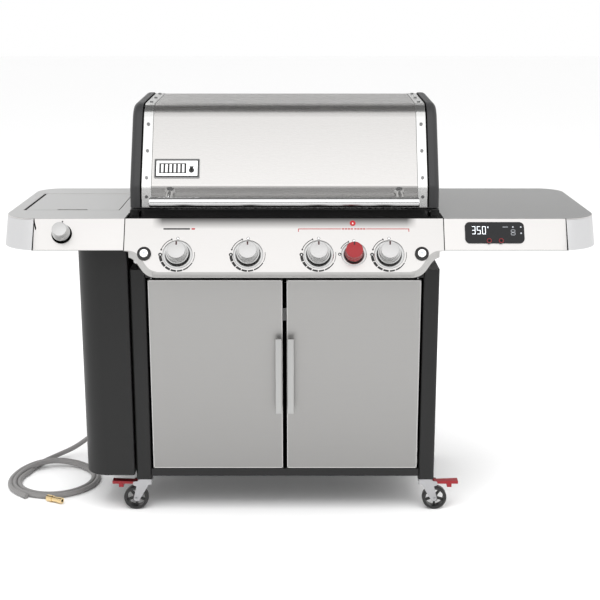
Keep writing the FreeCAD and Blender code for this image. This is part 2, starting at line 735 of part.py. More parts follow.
def side_burner_lid():
    left, right, front, back = burner_opening()
    plate = rounded_block(left, right, front, back, table_height - table_sheet, table_height, 4.0)
    skirt = block(left + 3.0, right - 3.0, front + 3.0, back - 3.0, table_height - 12.0, table_height - 2.0)
    skirt = skirt.cut(block(left + 5.0, right - 5.0, front + 5.0, back - 5.0, table_height - 13.0,
                            table_height - table_sheet))
    body = fuse([plate, skirt])
    finger = rounded_block(left + 93.0, left + 185.0, front - 10.0, front + 9.0, table_height - 13.0,
                           table_height + 1.0, 6.0)
    body = body.cut(finger)
    barrels = []
    for side in (-1, 1):
        x = (left + right) / 2 + side * (burner_lid_width / 2 - 30.0)
        y, z = burner_hinge()
        barrel = rod((x - 16.0, y, z), (1, 0, 0), 3.2, 32.0)
        web = block(x - 16.0, x + 16.0, back - 4.0, y, z, z + 3.0)
        bore = rod((x - 21.0, y, z), (1, 0, 0), 1.5 + hinge_clearance, 42.0)
        barrels.append(fuse([barrel, web]).cut(bore))
    clear = group([rod(((left + right) / 2 + side * (burner_lid_width / 2 - 30.0) - 22.0, *burner_hinge()),
                       (1, 0, 0), 3.0, 44.0) for side in (-1, 1)])
    return fuse([body.cut(clear)] + barrels)


def display_places():
    left = panel_right + display_margin
    return left, left + display_width, display_slant, display_slant + display_height


def display_housing():
    left, right, top, bottom = display_places()
    cx, cs = (left + right) / 2, (top + bottom) / 2
    w, h = display_width / 2, display_height / 2
    body = rounded_block(-w, w, -h, h, 0.0, 4.0, 14.0)
    body = round_edges(body, 1.2, lambda e: e.BoundBox.ZMin > 3.9)
    jacks = []
    for offset in (-17.4, 17.4):
        jack = Part.makeCylinder(7.5, 6.0, V(offset, -h + 6.0, 0)).cut(
            Part.makeCylinder(2.5, 8.0, V(offset, -h + 6.0, 1.0)))
        jacks.append(jack)
    sockets = group([Part.makeCylinder(7.5, 8.0, V(offset, -h + 6.0, -1.0)) for offset in (-17.4, 17.4)])
    body = body.cut(sockets)
    return group([on_fascia(body, cx, cs), on_fascia(group(jacks), cx, cs)])


# ---- Lid ----------------------------------------------------------------------------------------
def lid_outline(inset):
    """Side profile of the lid as (Y, Z) points with corner radii, drawn inwards by inset."""
    points = [(lid_y, lid_bottom), (lid_y + 7.0, lid_bottom + lid_kink_rise),
              (lid_y + lid_brow_back, lid_top - lid_brow_drop), (lid_back - 12.0, lid_top),
              (lid_back, hinge_z + 24.0), (lid_back - 50.0, hinge_z + 24.0), (lid_back - 50.0, lid_bottom)]
    radii = [0.0, 30.0, brow_radius, 48.0, 0.0, 0.0, 0.0]
    return offset_points(points, inset), [max(r - inset, 0.0) if r else 0.0 for r in radii]


def offset_points(points, inset):
    """Move every side of a polygon inwards; the points run clockwise seen from +X."""
    result = []
    count = len(points)
    for i in range(count):
        (ax, ay), (bx, by), (cx, cy) = points[i - 1], points[i], points[(i + 1) % count]
        lines = []
        for (px, py), (qx, qy) in (((ax, ay), (bx, by)), ((bx, by), (cx, cy))):
            length = math.hypot(qx - px, qy - py)
            nx, ny = (qy - py) / length, -(qx - px) / length
            lines.append((nx, ny, nx * px + ny * py + inset))
        (a1, b1, c1), (a2, b2, c2) = lines
        det = a1 * b2 - a2 * b1
        result.append(((c1 * b2 - c2 * b1) / det, (a1 * c2 - a2 * c1) / det))
    return result


def lid_prism(x0, x1, inset):
    points, radii = lid_outline(inset)
    return prism([(x0, y, z) for y, z in points], radii, (x1 - x0, 0, 0))


def lid_hollow(x0, x1, wall):
    """Inside of a lid shell of the given wall, open underneath."""
    inner = lid_prism(x0, x1, wall)
    mouth = block(x0, x1, lid_y + wall + 1.0, lid_back - 50.0 + wall, lid_bottom - 10.0, lid_bottom + wall + 1.0)
    step = block(x0, x1, lid_back - 50.0 - wall - 1.0, lid_back - wall, hinge_z + 10.0, hinge_z + 26.0 + wall)
    rear = block(x0, x1, lid_back - 52.0 - wall, lid_back - 49.0, lid_bottom - 10.0, hinge_z + 26.0 + wall)
    return fuse([inner, mouth, step, rear])


def lid_skin():
    x0, x1 = body_x - skin_half - lid_cap_gap, body_x + skin_half + lid_cap_gap
    return lid_prism(x0, x1, 0.0).cut(lid_hollow(x0 - 1.0, x1 + 1.0, lid_sheet))


def lid_end_caps():
    caps = []
    wall = 4.0
    for side in (-1, 1):
        outer_x = body_x + side * lid_width / 2
        inner_x = outer_x - side * lid_cap_thickness
        low, high = min(outer_x, inner_x), max(outer_x, inner_x)
        cap = lid_prism(low, high, -4.0)
        cap = cap.cut(block(low - 1.0, high + 1.0, lid_y - 40.0, lid_back + 40.0, lid_bottom - 40.0, lid_bottom))
        rim = [e for e in cap.Edges if abs(e.BoundBox.XMin - outer_x) < 1e-6 and abs(e.BoundBox.XMax - outer_x) < 1e-6
               and e.BoundBox.ZMax > hinge_z + 40.0]
        cap = cap.makeFillet(18.0, rim)
        hollow = lid_hollow(low - 1.0 if side > 0 else low + wall, high - wall if side > 0 else high + 1.0, 7.0)
        boss_x = outer_x - side * 1.0
        boss = rod((boss_x, hinge_y, hinge_z), (-side, 0, 0), 13.0, lid_cap_thickness - 7.0)
        web = block(min(boss_x, boss_x - side * 6.0), max(boss_x, boss_x - side * 6.0), hinge_y - 30.0, hinge_y + 24.0,
                    hinge_z, hinge_z + 40.0)
        bore = rod((outer_x - side * lid_cap_thickness * 1.2, hinge_y, hinge_z), (side, 0, 0),
                   hinge_radius + hinge_clearance, lid_cap_thickness * 1.2 - 8.0)
        caps.append(fuse([cap.cut(hollow), boss, web]).cut(bore))
    return group(caps)


def lid_trims():
    strips = []
    for side in (-1, 1):
        outer_x = body_x + side * skin_half
        inner_x = outer_x - side * trim_width
        low, high = min(outer_x, inner_x), max(outer_x, inner_x)
        strip = lid_prism(low, high, -trim_sheet).cut(lid_prism(low - 1.0, high + 1.0, 0.0))
        keep = block(low - 1.0, high + 1.0, lid_y - 20.0, lid_back - 40.0, lid_bottom + 2.0, lid_top + 20.0)
        rear = block(low - 2.0, high + 2.0, lid_back - 70.0, lid_back + 20.0, lid_bottom - 20.0, lid_top - 60.0)
        strips.append(strip.common(keep).cut(rear))
    return group(strips)


def lid_surface(rise):
    """Point (Y, Z) and outward lean on the lid's front at a height above its lower edge."""
    kink_y, kink_z = lid_y + 7.0, lid_bottom + lid_kink_rise
    brow_y, brow_z = lid_y + lid_brow_back, lid_top - lid_brow_drop
    z = lid_bottom + rise
    if z < kink_z:
        share = rise / lid_kink_rise
        return lid_y + 7.0 * share, z, math.degrees(math.atan2(7.0, lid_kink_rise))
    share = (z - kink_z) / (brow_z - kink_z)
    return kink_y + (brow_y - kink_y) * share, z, math.degrees(math.atan2(brow_y - kink_y, brow_z - kink_z))


def lid_screws():
    screws = []
    for side in (-1, 1):
        x = body_x + side * (skin_half - trim_width / 2)
        for rise in (32.0, 86.0, 161.0, 236.0):
            y, z, tilt = lid_surface(rise)
            head = Part.makeCylinder(5.0, 2.5, V(0, 0, trim_sheet))
            head.rotate(V(0, 0, 0), V(1, 0, 0), 90.0 - tilt)
            head.translate(V(x, y, z))
            screws.append(head)
        slope = math.atan2(lid_brow_drop, lid_depth - 12.0 - lid_brow_back)
        for share in (0.18, 0.5, 0.82):
            run = (lid_depth - 12.0 - lid_brow_back) * share
            head = Part.makeCylinder(5.0, 2.5, V(0, 0, trim_sheet))
            head.rotate(V(0, 0, 0), V(1, 0, 0), math.degrees(slope))
            head.translate(V(x, lid_y + lid_brow_back + run, lid_top - lid_brow_drop + run * math.tan(slope)))
            screws.append(head)
    return group(screws)


def badge_plate():
    y, z, tilt = lid_surface(112.0)
    plate = rounded_block(-68.0, 68.0, -30.5, 30.5, 0.0, 3.0, 3.0)
    plate.rotate(V(0, 0, 0), V(1, 0, 0), 90.0 - tilt)
    plate.translate(V(body_x - 321.0, y, z))
    return plate


def lid_handle():
    y, z = lid_y - handle_reach, lid_bottom + handle_rise
    half = handle_length / 2
    bar = rod((body_x - half, y, z), (1, 0, 0), handle_radius, handle_length)
    bar = round_edges(bar, 4.0, lambda e: e.BoundBox.XLength < 1e-6)
    foot_y, foot_z = lid_surface(handle_rise + post_lift)[:2]
    along = V(0, foot_y - y, foot_z - z)
    reach = along.Length
    along.normalize()
    posts = []
    for side in (-1, 1):
        x = body_x + side * post_spacing / 2
        post = rod((x, y, z), along, post_radius, reach + 5.0)
        foot = Part.makeCone(post_radius, foot_radius, 14.0, V(x, foot_y, foot_z) - along * 10.0, along)
        posts += [post, foot]
    body = fuse([bar] + posts)
    return body.cut(lid_prism(body_x - half, body_x + half, 0.0))


def hinge_pins():
    """Pins of the lid and the doors."""
    pins = []
    for side in (-1, 1):
        x = body_x + side * (lid_width / 2 - 8.5)
        pins.append(rod((x, hinge_y, hinge_z), (-side, 0, 0), hinge_radius, lid_cap_thickness + 7.0))
    low, high = door_span()
    for x, y in door_pin_places():
        pins.append(rod((x, y, shelf_bottom + 4.0), (0, 0, 1), 3.0, low + 14.0 - shelf_bottom - 4.0))
        pins.append(rod((x, y, high - 14.0), (0, 0, 1), 3.0, frame_top - 4.0 - high + 14.0))
    return group(pins)


# ---- Doors --------------------------------------------------------------------------------------
def door_edges():
    left, right = cart_left + leg_width + door_side_gap, cart_right - leg_width - door_side_gap
    middle = (left + right) / 2
    return [(left, middle - door_middle_gap / 2), (middle + door_middle_gap / 2, right)]


def door(index):
    x0, x1 = door_edges()[index]
    low, high = door_span()
    y0, y1 = leg_front, leg_front + door_thickness
    body = rounded_block(x0, x1, y0, y1, low, high, 2.0)
    hollow = block(x0 + door_wall, x1 - door_wall, y0 + door_wall, y1 - door_wall, low + door_wall, high - door_wall)
    x, y = door_pin_places()[index]
    seats = [block(x - 8.0, x + 8.0, y0 + 0.5, y1 - 0.5, z, z + 16.0) for z in (low + 0.5, high - 16.5)]
    bores = [rod((x, y, z), (0, 0, 1), 3.0 + hinge_clearance, 20.0) for z in (low - 4.0, high - 16.0)]
    return fuse([body.cut(hollow)] + seats).cut(group(bores))


def door_handle(index):
    edge = door_edges()[index][1 if index == 0 else 0]
    sign = -1 if index == 0 else 1
    near = edge + sign * door_handle_inset
    x0, x1 = min(near, near + sign * door_handle_width), max(near, near + sign * door_handle_width)
    top = door_span()[1] - door_handle_drop
    y = leg_front - door_handle_proud
    bar = rounded_block(x0, x1, y, y + 9.0, top - door_handle_length, top, 3.0)
    posts = [block(x0 + 4.0, x1 - 4.0, y + 8.0, leg_front, z, z + 16.0)
             for z in (top - door_handle_length + 12.0, top - 28.0)]
    return fuse([bar] + posts)


# ---- Casters ------------------------------------------------------------------------------------
def caster_axes():
    """Name, swivel axis and trail direction of each caster."""
    for side, end, x, y in leg_corners():
        yield side, end, x + leg_width / 2, y + leg_depth / 2, -1 if side == "left" else 1


def caster_fork(x, y, trail):
    half = wheel_width / 2 + 2.0
    top = caster_height - 2.0
    wheel_x = x + trail * caster_trail
    disk = Part.makeCylinder(24.0, 5.0, V(x, y, top - 5.0))
    crown = rounded_block(x - 22.0, x + 22.0, y - half - 3.0, y + half + 3.0, wheel_diameter + 9.0, top - 4.0, 6.0)
    crown = crown.cut(block(x - 30.0, x + 30.0, y - half, y + half, wheel_diameter, top - 10.0))
    plates = []
    for y0 in (y - half - 3.0, y + half):
        points = [(x - trail * 20.0, y0, wheel_diameter + 24.0), (x + trail * 22.0, y0, wheel_diameter + 24.0),
                  (wheel_x + trail * 9.0, y0, wheel_radius - 8.0), (wheel_x - trail * 9.0, y0, wheel_radius - 8.0)]
        plates.append(prism(points, [4.0, 4.0, 8.0, 8.0], (0, 3.0, 0)))
    axle = rod((wheel_x, y - half - 6.0, wheel_radius), (0, 1, 0), axle_radius, 2 * half + 12.0)
    pin = rod((x, y, top - 4.0), (0, 0, 1), caster_pin_radius, 9.0)
    return fuse([disk, crown] + plates + [axle, pin])


def caster_wheel(x, y, trail):
    wheel_x = x + trail * caster_trail
    y0 = y - wheel_width / 2
    tyre = rod((wheel_x, y0, wheel_radius), (0, 1, 0), wheel_radius, wheel_width)
    tyre = round_edges(tyre, 5.0, lambda e: e.BoundBox.XLength > wheel_diameter - 1.0 and e.BoundBox.YLength < 1e-6)
    well = rod((wheel_x, y0 - 1.0, wheel_radius), (0, 1, 0), wheel_radius - 10.0, wheel_width + 2.0)
    hub = rod((wheel_x, y0, wheel_radius), (0, 1, 0), 11.0, wheel_width)
    spokes = []
    for i in range(5):
        spoke = block(8.0, wheel_radius - 9.0, -4.0, 4.0, -3.5, 3.5)
        spoke.rotate(V(0, 0, 0), V(0, 1, 0), 90.0 + i * 72.0)
        spoke.translate(V(wheel_x, y, wheel_radius))
        spokes.append(spoke)
    bore = rod((wheel_x, y0 - 1.0, wheel_radius), (0, 1, 0), axle_radius + running_gap, wheel_width + 2.0)
    return fuse([tyre.cut(well), hub] + spokes).cut(bore)




def brake_lever(x, y, trail):
    wheel_x = x + trail * caster_trail
    pivot_z = wheel_diameter + lever_pivot_rise
    half = wheel_width / 2 + 1.0
    barrel = rod((wheel_x, y - half, pivot_z), (0, 1, 0), 5.0, 2 * half)
    tip = wheel_x + trail * lever_length
    points = [(wheel_x, y - half + 1.0, pivot_z + 4.0), (tip, y - half + 1.0, pivot_z + 7.0),
              (tip, y - half + 1.0, pivot_z - 3.0), (wheel_x, y - half + 1.0, pivot_z - 3.0)]
    blade = prism(points, [0, 2.0, 2.0, 0], (0, 2 * half - 2.0, 0))
    tab_x = wheel_x + trail * (lever_length - 34.0)
    tab = block(min(tab_x, tab_x + trail * 14.0), max(tab_x, tab_x + trail * 14.0), y - half + 1.0, y + half - 1.0,
                pivot_z - 14.0, pivot_z - 2.0)
    bore = rod((wheel_x, y - half - 1.0, pivot_z), (0, 1, 0), 2.0 + running_gap, 2 * half + 2.0)
    return fuse([barrel, blade, tab]).cut(bore)


def lever_mount(x, y, trail):
    """Pin and cheeks on a fork that carry the brake lever."""
    wheel_x = x + trail * caster_trail
    pivot_z = wheel_diameter + lever_pivot_rise
    half = wheel_width / 2 + 2.0
    pin = rod((wheel_x, y - half - 1.0, pivot_z), (0, 1, 0), 2.0, 2 * half + 2.0)
    cheeks = [prism([(x, y0, pivot_z + 9.0), (wheel_x + trail * 7.0, y0, pivot_z + 6.0),
                     (wheel_x + trail * 7.0, y0, pivot_z - 6.0), (x, y0, pivot_z - 20.0)],
                    [0, 5.0, 5.0, 0], (0, 3.0, 0)) for y0 in (y - half - 3.0, y + half)]
    return [pin] + cheeks


# ---- Hose ---------------------------------------------------------------------------------------
def hose_path(points):
    """Straight runs joined by tangent arcs; prints each arc's radius."""
    spots = [V(*p) for p in points]
    edges, start = [], spots[0]
    for before, here, after in zip(spots, spots[1:], spots[2:]):
        a, b = before - here, after - here
        shorter = min(a.Length, b.Length)
        a.normalize()
        b.normalize()
        half_turn = (math.pi - a.getAngle(b)) / 2
        radius = 0.45 * shorter / math.tan(half_turn)
        print("hose arc radius %.1f" % radius)
        enter, leave = here + a * (0.45 * shorter), here + b * (0.45 * shorter)
        bulge = radius / math.cos(half_turn) - radius
        middle = here + (a + b).normalize() * bulge
        edges.append(Part.LineSegment(start, enter).toShape())
        edges.append(Part.Arc(enter, middle, leave).toShape())
        start = leave
    edges.append(Part.LineSegment(start, spots[-1]).toShape())
    return Part.Wire(edges)


def gas_hose():
    path = hose_path(hose_route)
    start, ahead = V(*hose_route[0]), V(*hose_route[1])
    profile = Part.Wire([Part.Circle(start, ahead - start, hose_diameter / 2).toShape()])
    tube = path.makePipeShell([profile], True, False, 2)
    expected = math.pi * hose_diameter ** 2 / 4 * path.Length
    print("hose free length %.1f, volume ratio %.4f" % (path.Length, tube.Volume / expected))
    return tube


def fitting_place():
    """Start and direction of the fitting at the coil's front."""
    angle = math.radians(-26.0)
    return V(coil_centre[0] + 4.0, coil_centre[1] - coil_outer + 6.0, 11.0), V(math.cos(angle), math.sin(angle), 0)


def gas_hose_coil():
    cx, cy = coil_centre
    ring = Part.makeCylinder(coil_outer, coil_height, V(cx, cy, 0)).cut(
        Part.makeCylinder(coil_inner, coil_height + 2.0, V(cx, cy, -1.0)))
    tail = V(*hose_route[-1]) - V(*hose_route[-2])
    entry = Part.makeCylinder(hose_diameter / 2, 45.0, V(*hose_route[-1]), tail)
    start, direction = fitting_place()
    mouth = Part.makeCylinder(hose_diameter / 2, 40.0, start, direction * -1)
    trim = Part.makeCylinder(14.0, 60.0, start, direction)
    body = ring.cut(trim).cut(Part.makeCylinder(9.0, 40.0, V(*hose_route[-1]), tail * -1))
    return fuse([body, entry, mouth])


def hose_fitting():
    start, direction = fitting_place()
    nut = Part.makeCylinder(10.5, 20.0, start, direction)
    body = Part.makeCylinder(8.5, 26.0, start + direction * 19.0, direction)
    tip = Part.makeCylinder(9.5, 14.0, start + direction * 43.0, direction)
    bore = Part.makeCylinder(5.0, 30.0, start + direction * 30.0, direction)
    return fuse([nut, body, tip]).cut(bore)


# ---- Nodes --------------------------------------------------------------------------------------
def nodes():
    made = {
        "frame_legs": frame_legs(), "frame_rails": frame_rails(), "bottom_shelf": bottom_shelf(),
        "cabinet_panels": cabinet_panels(), "tank_screen": tank_screen(), "cookbox": cookbox(),
        "burner_tubes": burner_tubes(), "heat_plates": heat_plates(), "cooking_grates": cooking_grates(),
        "grease_tray": grease_tray(), "drip_pan": drip_pan(), "warming_rack": warming_rack(),
        "gas_manifold": gas_manifold(), "control_panel": control_panel(), "panel_bezels": panel_bezels(),
        "left_table_panel": table_panel(-1), "right_table_panel": table_panel(1),
        "table_end_caps": table_end_caps(), "table_brackets": table_brackets(), "side_burner": side_burner(),
        "side_burner_lid": side_burner_lid(), "display_housing": display_housing(), "lid_skin": lid_skin(),
        "lid_end_caps": lid_end_caps(), "lid_trims": lid_trims(), "lid_screws": lid_screws(),
        "lid_handle": lid_handle(), "badge_plate": badge_plate(), "hinge_pins": hinge_pins(),
        "left_door": door(0), "right_door": door(1), "left_door_handle": door_handle(0),
        "right_door_handle": door_handle(1), "gas_hose": gas_hose(), "gas_hose_coil": gas_hose_coil(),
        "hose_fitting": hose_fitting(),
    }
    for name, x, slant in knob_places():
        made[name] = on_fascia(knob(*knob_size(name)), x, slant)
        made[name.replace("knob", "stem")] = on_fascia(stem(), x, slant)
    for name, x in button_places():
        made[name] = on_fascia(push_button(), x, knob_slant)
    for side, end, x, y, trail in caster_axes():
        corner = "%s_%s" % (end, side)
        fork = caster_fork(x, y, trail)
        if end == "front":
            fork = fuse([fork] + lever_mount(x, y, trail))
            made["brake_lever_" + side] = brake_lever(x, y, trail)
        made["caster_fork_" + corner] = fork
        made["caster_wheel_" + corner] = caster_wheel(x, y, trail)
    return made


os.makedirs("parts", exist_ok=True)
for node, solid in nodes().items():
    solid.exportStep("parts/%s.step" % node)
    print("%-26s solids %2d valid %s volume %.0f" % (node, len(solid.Solids), solid.isValid(), solid.Volume))
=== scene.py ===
"""Looks of a gas barbecue grill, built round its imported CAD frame. Lengths are in metres."""
import json
import logging
import math
from dataclasses import dataclass, field
from enum import Enum
from typing import Callable, Optional, Sequence, Union

import bpy
from mathutils import Matrix, Vector
from mathutils.geometry import interpolate_bezier


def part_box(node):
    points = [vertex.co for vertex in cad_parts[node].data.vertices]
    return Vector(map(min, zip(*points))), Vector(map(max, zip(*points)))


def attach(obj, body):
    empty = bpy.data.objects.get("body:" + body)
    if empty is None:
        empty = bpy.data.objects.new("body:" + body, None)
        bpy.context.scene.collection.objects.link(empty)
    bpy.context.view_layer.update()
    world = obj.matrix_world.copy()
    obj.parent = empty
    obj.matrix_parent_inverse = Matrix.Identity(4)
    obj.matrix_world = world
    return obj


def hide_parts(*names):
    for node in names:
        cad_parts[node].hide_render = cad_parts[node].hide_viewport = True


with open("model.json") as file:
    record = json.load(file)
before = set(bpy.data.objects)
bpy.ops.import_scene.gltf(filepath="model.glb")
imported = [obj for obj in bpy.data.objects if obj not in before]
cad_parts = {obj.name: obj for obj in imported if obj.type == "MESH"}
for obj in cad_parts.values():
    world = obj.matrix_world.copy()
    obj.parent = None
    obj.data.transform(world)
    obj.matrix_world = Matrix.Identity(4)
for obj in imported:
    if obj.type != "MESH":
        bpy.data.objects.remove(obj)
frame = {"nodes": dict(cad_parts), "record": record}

logging.basicConfig(level=logging.INFO, format="%(message)s")
LOG = logging.getLogger("grill")
PANEL, DISPLAY, BADGE_PLATE = "control_panel", "display_housing", "badge_plate"
LEFT_TABLE, RIGHT_TABLE = "left_table_panel", "right_table_panel"
Point = tuple[float, float, float]
Number = Union[float, "Wire"]
Obj, Face = bpy.types.Object, bpy.types.MeshPolygon
Node, Socket, Material = bpy.types.Node, bpy.types.NodeSocket, bpy.types.Material
Test = Callable[[Face], bool]


def grey(level: float) -> Point:
    """Colour with three equal shares."""
    return level, level, level


# ---- Shader graph -------------------------------------------------------------------------------
class Wire:
    """One shader value that takes part in Python arithmetic."""

    def __init__(self, graph: "Graph", socket: Socket) -> None:
        """Wrap a socket.

        Args:
            graph: The graph that owns the socket.
            socket: The output socket whose value is used.
        """
        self.graph = graph
        self.socket = socket

    def math(self, operation: str, *others: Number, flip: bool = False) -> "Wire":
        """Add a Math node.

        Args:
            operation: The node's operation.
            others: The remaining operands.
            flip: Put this value second, for the reflected operators.

        Returns:
            The node's result.
        """
        values = [self, *others]
        if flip:
            values.reverse()
        made = self.graph.node("ShaderNodeMath", {"operation": operation}, dict(enumerate(values)))
        return Wire(self.graph, made.outputs[0])

    def __add__(self, other: Number) -> "Wire":
        """Sum."""
        return self.math("ADD", other)

    __radd__ = __add__

    def __sub__(self, other: Number) -> "Wire":
        """Difference."""
        return self.math("SUBTRACT", other)

    def __rsub__(self, other: Number) -> "Wire":
        """Difference with this value taken away."""
        return self.math("SUBTRACT", other, flip=True)

    def __mul__(self, other: Number) -> "Wire":
        """Product."""
        return self.math("MULTIPLY", other)

    __rmul__ = __mul__

    def clamped(self) -> "Wire":
        """This value kept between 0 and 1."""
        return self.math("MAXIMUM", 0.0).math("MINIMUM", 1.0)


class Graph:
    """Node tree of one material."""

    def __init__(self, name: str) -> None:
        """Start an empty material.

        Args:
            name: The material's name.
        """
        self.material = bpy.data.materials.new(name)
        self.material.use_nodes = True
        self.tree = self.material.node_tree
        self.tree.nodes.clear()
        self.coordinates: Optional[Node] = None

    def node(self, kind: str, settings: Optional[dict] = None, inputs: Optional[dict] = None) -> Node:
        """Add any node.

        Args:
            kind: The node's type.
            settings: Properties of the node, which are set first.
            inputs: Values, Wires or sockets by socket name or index.

        Returns:
            The new node.
        """
        made = self.tree.nodes.new(kind)
        for key, value in (settings or {}).items():
            setattr(made, key, value)
        for key, value in (inputs or {}).items():
            socket = made.inputs[key]
            if isinstance(value, (Wire, Socket)):
                self.tree.links.new(getattr(value, "socket", value), socket)
            elif isinstance(value, tuple) and len(value) == 3 and socket.type == "RGBA":
                socket.default_value = (*value, 1.0)
            else:
                socket.default_value = value
        return made

    def mapped(self, scale: Point) -> Socket:
        """Object coordinates stretched by scale."""
        if self.coordinates is None:
            self.coordinates = self.node("ShaderNodeTexCoord")
        mapping = self.node("ShaderNodeMapping", {}, {"Vector": self.coordinates.outputs["Object"], "Scale": scale})
        return mapping.outputs["Vector"]

    def noise(self, scale: Point, size: float, detail: float = 2.0) -> Wire:
        """Noise on stretched object coordinates.

        Args:
            scale: Stretch along each axis.
            size: Noise scale.
            detail: Octaves.

        Returns:
            The noise value, about 0.5 on average.
        """
        made = self.node("ShaderNodeTexNoise", {}, {"Vector": self.mapped(scale), "Scale": size, "Detail": detail})
        return Wire(self, made.outputs["Fac"])

    def position(self, axis: str) -> Wire:
        """One object coordinate, in metres."""
        split = self.node("ShaderNodeSeparateXYZ", {}, {"Vector": self.mapped(EVEN)})
        return Wire(self, split.outputs[axis])

    def blend(self, share: Number, first: Point, second: Point) -> Socket:
        """Mix of two colours."""
        made = self.node("ShaderNodeMix", {"data_type": "RGBA"}, {"Factor": share, 6: first, 7: second})
        return made.outputs[2]

    def finish(self, shader: Node) -> Material:
        """Connect the shader to the output and return the material."""
        self.node("ShaderNodeOutputMaterial", {}, {"Surface": shader.outputs[0]})
        return self.material


class Grain(Enum):
    """What the surface looks like up close."""

    PLAIN = "plain"
    BRUSHED_ACROSS = "brushed along X"
    BRUSHED_UP = "brushed along Z"
    POWDER = "powder coat"
    CAST = "cast"


ACROSS, UP, POWDER, CAST = Grain.BRUSHED_ACROSS, Grain.BRUSHED_UP, Grain.POWDER, Grain.CAST
GRAIN_STRETCH = {ACROSS: (4.0, 520.0, 520.0), UP: (520.0, 520.0, 4.0)}
BROAD_STRETCH = {ACROSS: (1.6, 40.0, 40.0), UP: (40.0, 40.0, 1.6)}
EVEN: Point = (1.0, 1.0, 1.0)
SPECK_SIZE = {POWDER: 900.0, CAST: 420.0}
SPECK_BUMP = {POWDER: 0.12, CAST: 0.25}


@dataclass(frozen=True)
class PaintedShade:
    """Painted shade: soft darkening of a surface's colour towards one height, between two places along X, that stands
    in for shadow and dark reflections.
    """

    clear: float
    full: float
    share: float
    left: float
    right: float
    blur: float = 0.08

    def over(self, graph: Graph, colour: Union[Point, Socket]) -> Socket:
        """Darken a colour with painted shade.

        Args:
            graph: The material's graph.
            colour: The colour with no darkening.

        Returns:
            The darkened colour.
        """
        across, up = graph.position("X"), graph.position("Z")
        amount = ((up - self.clear) * (1.0 / (self.full - self.clear))).clamped()
        amount = amount * ((across - self.left) * (1.0 / self.blur)).clamped()
        amount = amount * ((self.right - across) * (1.0 / self.blur)).clamped()
        tone = graph.blend(amount, EVEN, grey(self.share))
        made = graph.node("ShaderNodeMix", {"data_type": "RGBA", "blend_type": "MULTIPLY"},
                          {"Factor": 1.0, 6: colour, 7: tone})
        return made.outputs[2]


@dataclass(frozen=True)
class Finish:
    """A material finish of one of the grill's parts."""

    name: str
    slot: str
    colour: Point
    metallic: float = 0.0
    roughness: float = 0.5
    grain: Grain = Grain.PLAIN
    depth: float = 0.15
    coat: float = 0.0
    glow: Optional[Point] = None
    glow_strength: float = 0.0
    shine: float = 0.5
    painted_shade: Optional[PaintedShade] = None

    def build(self) -> Material:
        """Make the material."""
        graph = Graph(self.name)
        inputs: dict = {"Metallic": self.metallic, "Coat Weight": self.coat, "Coat Roughness": 0.08,
                        "Specular IOR Level": self.shine}
        if self.glow:
            inputs.update({"Emission Color": self.glow, "Emission Strength": self.glow_strength})
        if self.grain in GRAIN_STRETCH:
            inputs.update(self._brushed(graph))
        elif self.grain in SPECK_SIZE:
            inputs.update(self._speckled(graph))
        else:
            inputs.update({"Base Color": self.colour, "Roughness": self.roughness})
        # Painted shade laid over the base colour.
        if self.painted_shade:
            inputs["Base Color"] = self.painted_shade.over(graph, inputs["Base Color"])
        return graph.finish(graph.node("ShaderNodeBsdfPrincipled", {}, inputs))

    def _brushed(self, graph: Graph) -> dict:
        """Fine scratches in one direction with slow changes of tone."""
        fine = graph.noise(GRAIN_STRETCH[self.grain], 2.0)
        broad = graph.noise(BROAD_STRETCH[self.grain], 3.0, 3.0)
        return self._toned(graph, fine * 0.7 + broad * 0.3, swing=0.12, relief=fine, strength=0.008, distance=0.0001)

    def _speckled(self, graph: Graph) -> dict:
        """Fine orange peel of powder coat, or the coarser skin of a casting."""
        speck = graph.noise(EVEN, SPECK_SIZE[self.grain], 1.0)
        return self._toned(graph, graph.noise(EVEN, 6.0), swing=0.15, relief=speck,
                           strength=SPECK_BUMP[self.grain], distance=0.0003)

    def _toned(self, graph: Graph, share: Wire, swing: float, relief: Wire, strength: float, distance: float) -> dict:
        """Tone and roughness that follow a pattern, with a bump.

        Args:
            graph: The material's graph.
            share: The pattern, about 0.5 on average.
            swing: How far the roughness follows it.
            relief: The bump's height.
            strength: The bump's strength.
            distance: The bump's distance.

        Returns:
            Values for the shader's sockets.
        """
        dark = tuple(c * (1.0 - self.depth) for c in self.colour)
        light = tuple(min(c * (1.0 + self.depth), 1.0) for c in self.colour)
        bump = graph.node("ShaderNodeBump", {}, {"Strength": strength, "Distance": distance, "Height": relief})
        return {"Base Color": graph.blend(share, dark, light), "Roughness": (share - 0.5) * swing + self.roughness,
                "Normal": bump.outputs["Normal"]}


